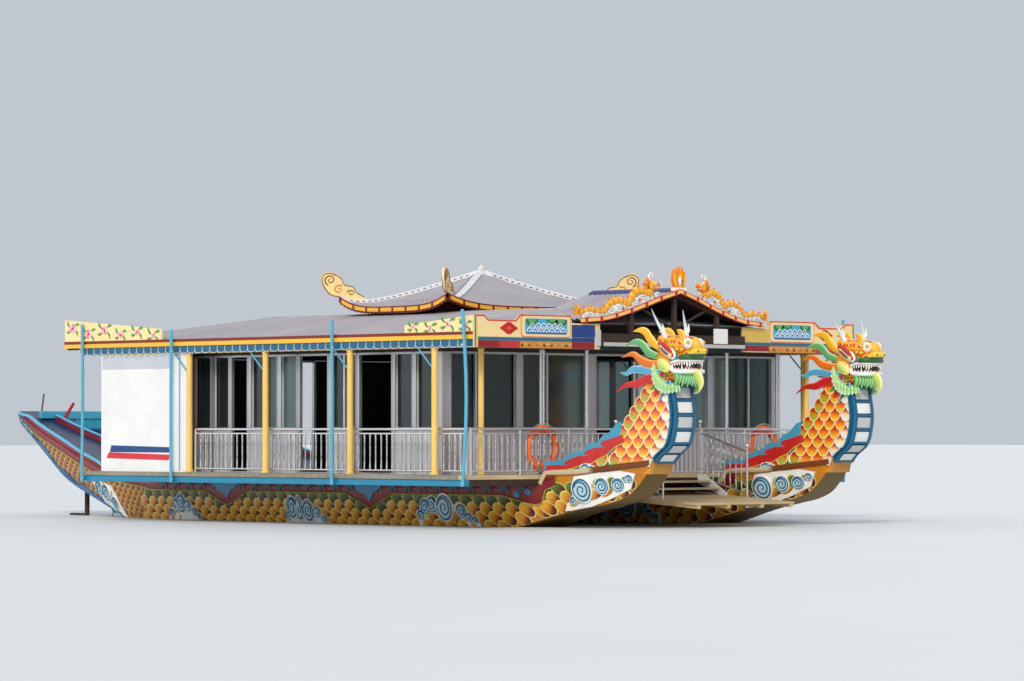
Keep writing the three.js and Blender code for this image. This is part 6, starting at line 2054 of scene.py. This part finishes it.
# Outer face, foot, top and colour
EAVE_STRIPS = ((4.2195, 2.066, 2.133, STRIP_YELLOW), (4.222, 2.1333, EAVE_TOP, STRIP_RED))
for eave in mirrored("eave_valance", "eave_trim", "trim_red", bevel=0.0012):
    for face, foot, top, tint in EAVE_STRIPS:
        eave.box(ROOF_BACK, ROOF_FRONT, EAVE_INNER, face, foot, top, "board", tint)
    step = (SCALLOP_END - SCALLOP_START) / SCALLOPS
    for k in range(SCALLOPS):
        a0 = SCALLOP_START + step * k
        lower = [(a0 + step * (0.01 + 0.98 * share), 1.943 + lift) for share, lift in SCALLOP_SHAPE]
        outline = lower + [(lower[-1][0], VALANCE_TOP), (lower[0][0], VALANCE_TOP)]
        eave.prism(outline, EAVE_INNER, 4.1965, along_y, "board", VALANCE_BLUE)
        rim = [(a, 4.1975, b + 0.004) for a, b in lower]
        eave.tube([(rim[0][0], 4.1975, 2.064), *rim], 0.0042, "board", WHITE, sides=5, start_up=Y_AXIS)
    for x0, z0, x1, z1 in PARAPETS:
        eave.prism([(x0, PARAPET_FOOT), (x1, PARAPET_FOOT), (x1, z1), (x0, z0)], 4.185, 4.215, along_y,
                   "board", BOARD_CREAM)
        count = round((x1 - x0) / 0.44)
        for k in range(count):
            a = x0 + (x1 - x0) * (k + 0.5) / count
            top = z0 + (z1 - z0) * (a - x0) / (x1 - x0)
            b = EAVE_TOP + (top - EAVE_TOP) * (0.5 + 0.12 * (-1) ** k)
            radius = 0.25 * min(0.34, top - EAVE_TOP)
            blossom(eave, a, b, radius, 0.7 * k)
            for angle, length in ((0.5, 0.1), (2.5, 0.11), (3.6, 0.09), (5.6, 0.1)):
                sprig(eave, a + radius * cos(angle), b + radius * 0.8 * sin(angle), angle,
                      length * (0.9 + 0.15 * (k % 3)))

eave = Shape()
for _, foot, top, tint in EAVE_STRIPS:
    eave.box(-10.04, -10.0003, -4.2, 4.2, foot, top, "board", tint)
for k in range(28):
    y = -4.05 + 0.3 * k
    eave.box(-10.0405, -10.0395, y - 0.02, y + 0.02, 2.075, 2.125, "board", DARK_TICK)
eave.make("eave_stern_strip", "eave_trim_aft", "trim_red", bevel=0.002)


# Stern bulwark: a rail between the two tips over a panel of boards
PANEL_BACK, PANEL_FRONT, PANEL_HALF, PANEL_FOOT, PANEL_TOP = -13.72, -13.66, 1.64, 0.56, 0.899
stern = Shape()
stern.box(-13.74, -13.64, -2.0, 2.0, 0.9, 1.03, "board", (72, 176, 212))
for side in (1, -1):
    stern.tube([(-13.7, side * 1.97, 1.0), (-13.72, side * 1.9, 1.34)], 0.016, "board", (104, 78, 58),
               sides=8, start_up=X_AXIS)
    stern.tube([(-13.628, side * 1.3, 1.18), (-13.628, side * 1.6, 0.78)], 0.034, "board", (196, 30, 54),
               sides=4, flat=0.35, start_up=X_AXIS)
boards = spans(-PANEL_HALF, PANEL_HALF, 20)
for a, b in zip(boards, boards[1:]):
    stern.box(-13.714, -13.668, a + 0.003, b - 0.003, 0.71, PANEL_TOP, "board", (52, 170, 200))
    stern.box(-13.712, -13.67, a + 0.003, b - 0.003, 0.562, 0.708, "board", (14, 74, 120))
for z0, z1 in ((PANEL_FOOT, 0.59), (0.7, 0.73)):
    stern.box(PANEL_BACK, PANEL_FRONT, -PANEL_HALF, PANEL_HALF, z0, z1, "beam_blue")
for y in (-1.625, -0.55, 0.55, 1.625):
    stern.box(-13.7195, -13.6605, y - 0.015, y + 0.015, PANEL_FOOT, PANEL_TOP, "beam_blue")
for y in (-1.4, 1.4):
    for face in (-13.722, -13.658):
        stern.tube([(face, y - 0.16, 0.6), (face, y + 0.16, 0.89)], 0.012, "lacquer", sides=8)
stern.make("stern_rail", "stern_bulwark", "blue_paint", bevel=0.004)


# Steering and drive gear, each on its own body
PROPELLER_X, SHAFT_Z, SHAFT_START, STOCK_X, STAY_X = -11.56, -0.95, -9.95, -12.3, -11.2
for name, side in SIDES:
    gear = Shape(side)
    gear.rod((STOCK_X, HULL_OFFSET, -1.19), (STOCK_X, HULL_OFFSET, -0.0701), 0.044, "dark_wood", sides=24)
    for z in (-1.12, -0.86):
        gear.rod((STOCK_X, HULL_OFFSET, z - 0.035), (STOCK_X, HULL_OFFSET, z + 0.035), 0.0485, "bronze",
                 sides=24)
        gear.box(STOCK_X - 0.36, STOCK_X + 0.05, HULL_OFFSET - 0.0235, HULL_OFFSET + 0.0235, z - 0.022,
                 z + 0.022, "bronze")
        for x in (-0.32, -0.2, -0.1):
            for face in (1, -1):
                gear.rod((STOCK_X + x, HULL_OFFSET + face * 0.02, z),
                         (STOCK_X + x, HULL_OFFSET + face * 0.028, z),
                         0.009, "bronze", sides=10)
    section = [(1.0, 0.3), (0.9, 0.8), (0.7, 1.0), (0.4, 0.95), (0.12, 0.55), (0.0, 0.22)]
    rings = []
    for z, front, back in ((-1.2, 0.12, -0.56), (-1.16, 0.12, -0.56), (-0.99, 0.09, -0.54),
                           (-0.82, 0.065, -0.51), (-0.78, 0.06, -0.5)):
        narrow = 0.8 if z in (-1.2, -0.78) else 1.0
        half = 0.02 * narrow
        rings.append([(STOCK_X + back + (front - back) * s, HULL_OFFSET + half * w, z)
                      for s, w in section + [(s, -w) for s, w in reversed(section)]])
    loft(gear, rings, "dark_wood")
    gear.make("rudder_gear_" + name, "rudder_" + name, "dark_wood", "rudder_%s_body" % name, bevel=0.002)

    screw = Shape(side)
    screw.rod((PROPELLER_X - 0.02, HULL_OFFSET, SHAFT_Z), (SHAFT_START, HULL_OFFSET, SHAFT_Z), 0.0197,
              "bronze", sides=24)
    hub = [(-0.07, 0.008), (-0.062, 0.02), (-0.045, 0.032), (0.0, 0.042), (0.045, 0.044), (0.06, 0.036)]
    screw.tube([(PROPELLER_X + x, HULL_OFFSET, SHAFT_Z) for x, _ in hub], [r for _, r in hub], "bronze",
               sides=28)
    for blade in range(3):
        turn = TURN * blade / 3
        rings = []
        for k in range(13):
            share = k / 12
            radius = 0.03 + 0.169 * share
            chord = 0.028 + 0.075 * sin(pi * min(1.0, 0.12 + share * 0.86)) ** 0.7
            if k == 12:
                chord = 0.018
            pitch = radians(62 - 34 * share)
            thick = 0.0065 * (1 - 0.6 * share)
            ring = []
            for s, w in ((-1, 0), (-0.6, 0.8), (0, 1), (0.6, 0.8), (1, 0), (0.6, -0.8), (0, -1),
                         (-0.6, -0.8)):
                along, normal = s * chord * 0.5, w * thick
                x = along * sin(pitch) + normal * cos(pitch)
                across = along * cos(pitch) - normal * sin(pitch)
                y = cos(turn) * across - sin(turn) * radius
                z = sin(turn) * across + cos(turn) * radius
                ring.append((PROPELLER_X + x, HULL_OFFSET + y, SHAFT_Z + z))
            rings.append(ring)
        loft(screw, rings, "bronze")
    screw.make("screw_" + name, "propeller_" + name, "bronze", "propeller_%s_body" % name, sharp=45)

    stay = Shape(side)
    barrel = [(-0.1, 0.0385), (-0.088, 0.045), (-0.02, 0.045), (0.02, 0.045), (0.088, 0.045), (0.1, 0.0385)]
    count = 28
    points, faces = [], []
    for inner in (False, True):
        for x, radius in barrel:
            r = 0.0222 if inner else radius
            points += [(STAY_X + x, HULL_OFFSET + r * cos(TURN * k / count),
                        SHAFT_Z + r * sin(TURN * k / count))
                       for k in range(count)]
    rows_in = len(barrel)
    loop = [*range(rows_in), *range(2 * rows_in - 1, rows_in - 1, -1)]
    for p, q in zip(loop, loop[1:] + loop[:1]):
        faces += [(q * count + k, q * count + (k + 1) % count, p * count + (k + 1) % count, p * count + k)
                  for k in range(count)]
    stay.add(points, faces, "bronze")
    hull_foot = keel_at(STAY_X)
    rings = []
    for z, half, chord in ((SHAFT_Z + 0.036, 0.014, 0.085), (SHAFT_Z + 0.1, 0.011, 0.06),
                           (hull_foot - 0.03, 0.012, 0.065),
                           (hull_foot - 0.0004, 0.016, 0.095)):
        rings.append([(STAY_X + chord * s, HULL_OFFSET + half * w, z) for s, w in
                      ((1, 0), (0.6, 0.8), (0, 1), (-0.6, 0.8), (-1, 0), (-0.6, -0.8), (0, -1), (0.6, -0.8))])
    loft(stay, rings, "bronze")
    stay.make("shaft_stay_" + name, "shaft_bracket_" + name, "bronze")


# Camera at the photograph's angle, studio light and a pale floor at the waterline
CAMERA_TURN = radians(47)
CAMERA_PITCH = radians(1.27)
camera_data = bpy.data.cameras.new("camera")
camera_data.lens, camera_data.sensor_width = 144.1, 36.0
camera_data.clip_end = 600
camera = bpy.data.objects.new("camera", camera_data)
bpy.context.scene.collection.objects.link(camera)
camera.location = (51.47, -46.01, 1.937)
camera.rotation_euler = (pi / 2 + CAMERA_PITCH, 0.0, CAMERA_TURN)
bpy.context.scene.camera = camera

world = bpy.data.worlds.new("studio")
world.use_nodes = True
world.node_tree.nodes["Background"].inputs["Color"].default_value = (0.86, 0.92, 1.0, 1.0)
world.node_tree.nodes["Background"].inputs["Strength"].default_value = 0.62
bpy.context.scene.world = world


def soft_light(name, place, aim, spread, power, colour):
    """A sun as wide as a studio's soft box. spread is the angle that it fills."""
    data = bpy.data.lights.new(name, "SUN")
    data.angle, data.energy, data.color = spread, power, colour
    lamp = bpy.data.objects.new(name, data)
    bpy.context.scene.collection.objects.link(lamp)
    lamp.location = place
    lamp.rotation_euler = (Vector(aim) - Vector(place)).to_track_quat("-Z", "Y").to_euler()


soft_light("key", (16, -22, 19), (0, 0, 1.5), 0.28, 2.05, (1.0, 0.95, 0.87))
soft_light("fill", (-22, -20, 10), (-2, 0, 1), 0.9, 0.45, (0.92, 0.96, 1.0))
soft_light("back", (-8, 24, 16), (0, 0, 2), 0.9, 0.5, (1.0, 0.98, 0.95))

floor_mesh = bpy.data.meshes.new("floor")
reach = 300
floor_mesh.from_pydata([(-reach, -reach, 0), (reach, -reach, 0), (reach, reach, 0), (-reach, reach, 0)], [],
                       [(0, 1, 2, 3)])
floor = bpy.data.objects.new("floor", floor_mesh)
bpy.context.scene.collection.objects.link(floor)
floor.location.z = ORIGIN.z + WATERLINE
floor_mesh.materials.append(finish("floor", (222, 225, 228), rough=0.6, mottle=0.02, scale=0.2, wear=0.0,
                                   relief=0.0))

scene_view = bpy.context.scene.view_settings
scene_view.view_transform, scene_view.look = "Standard", "None"
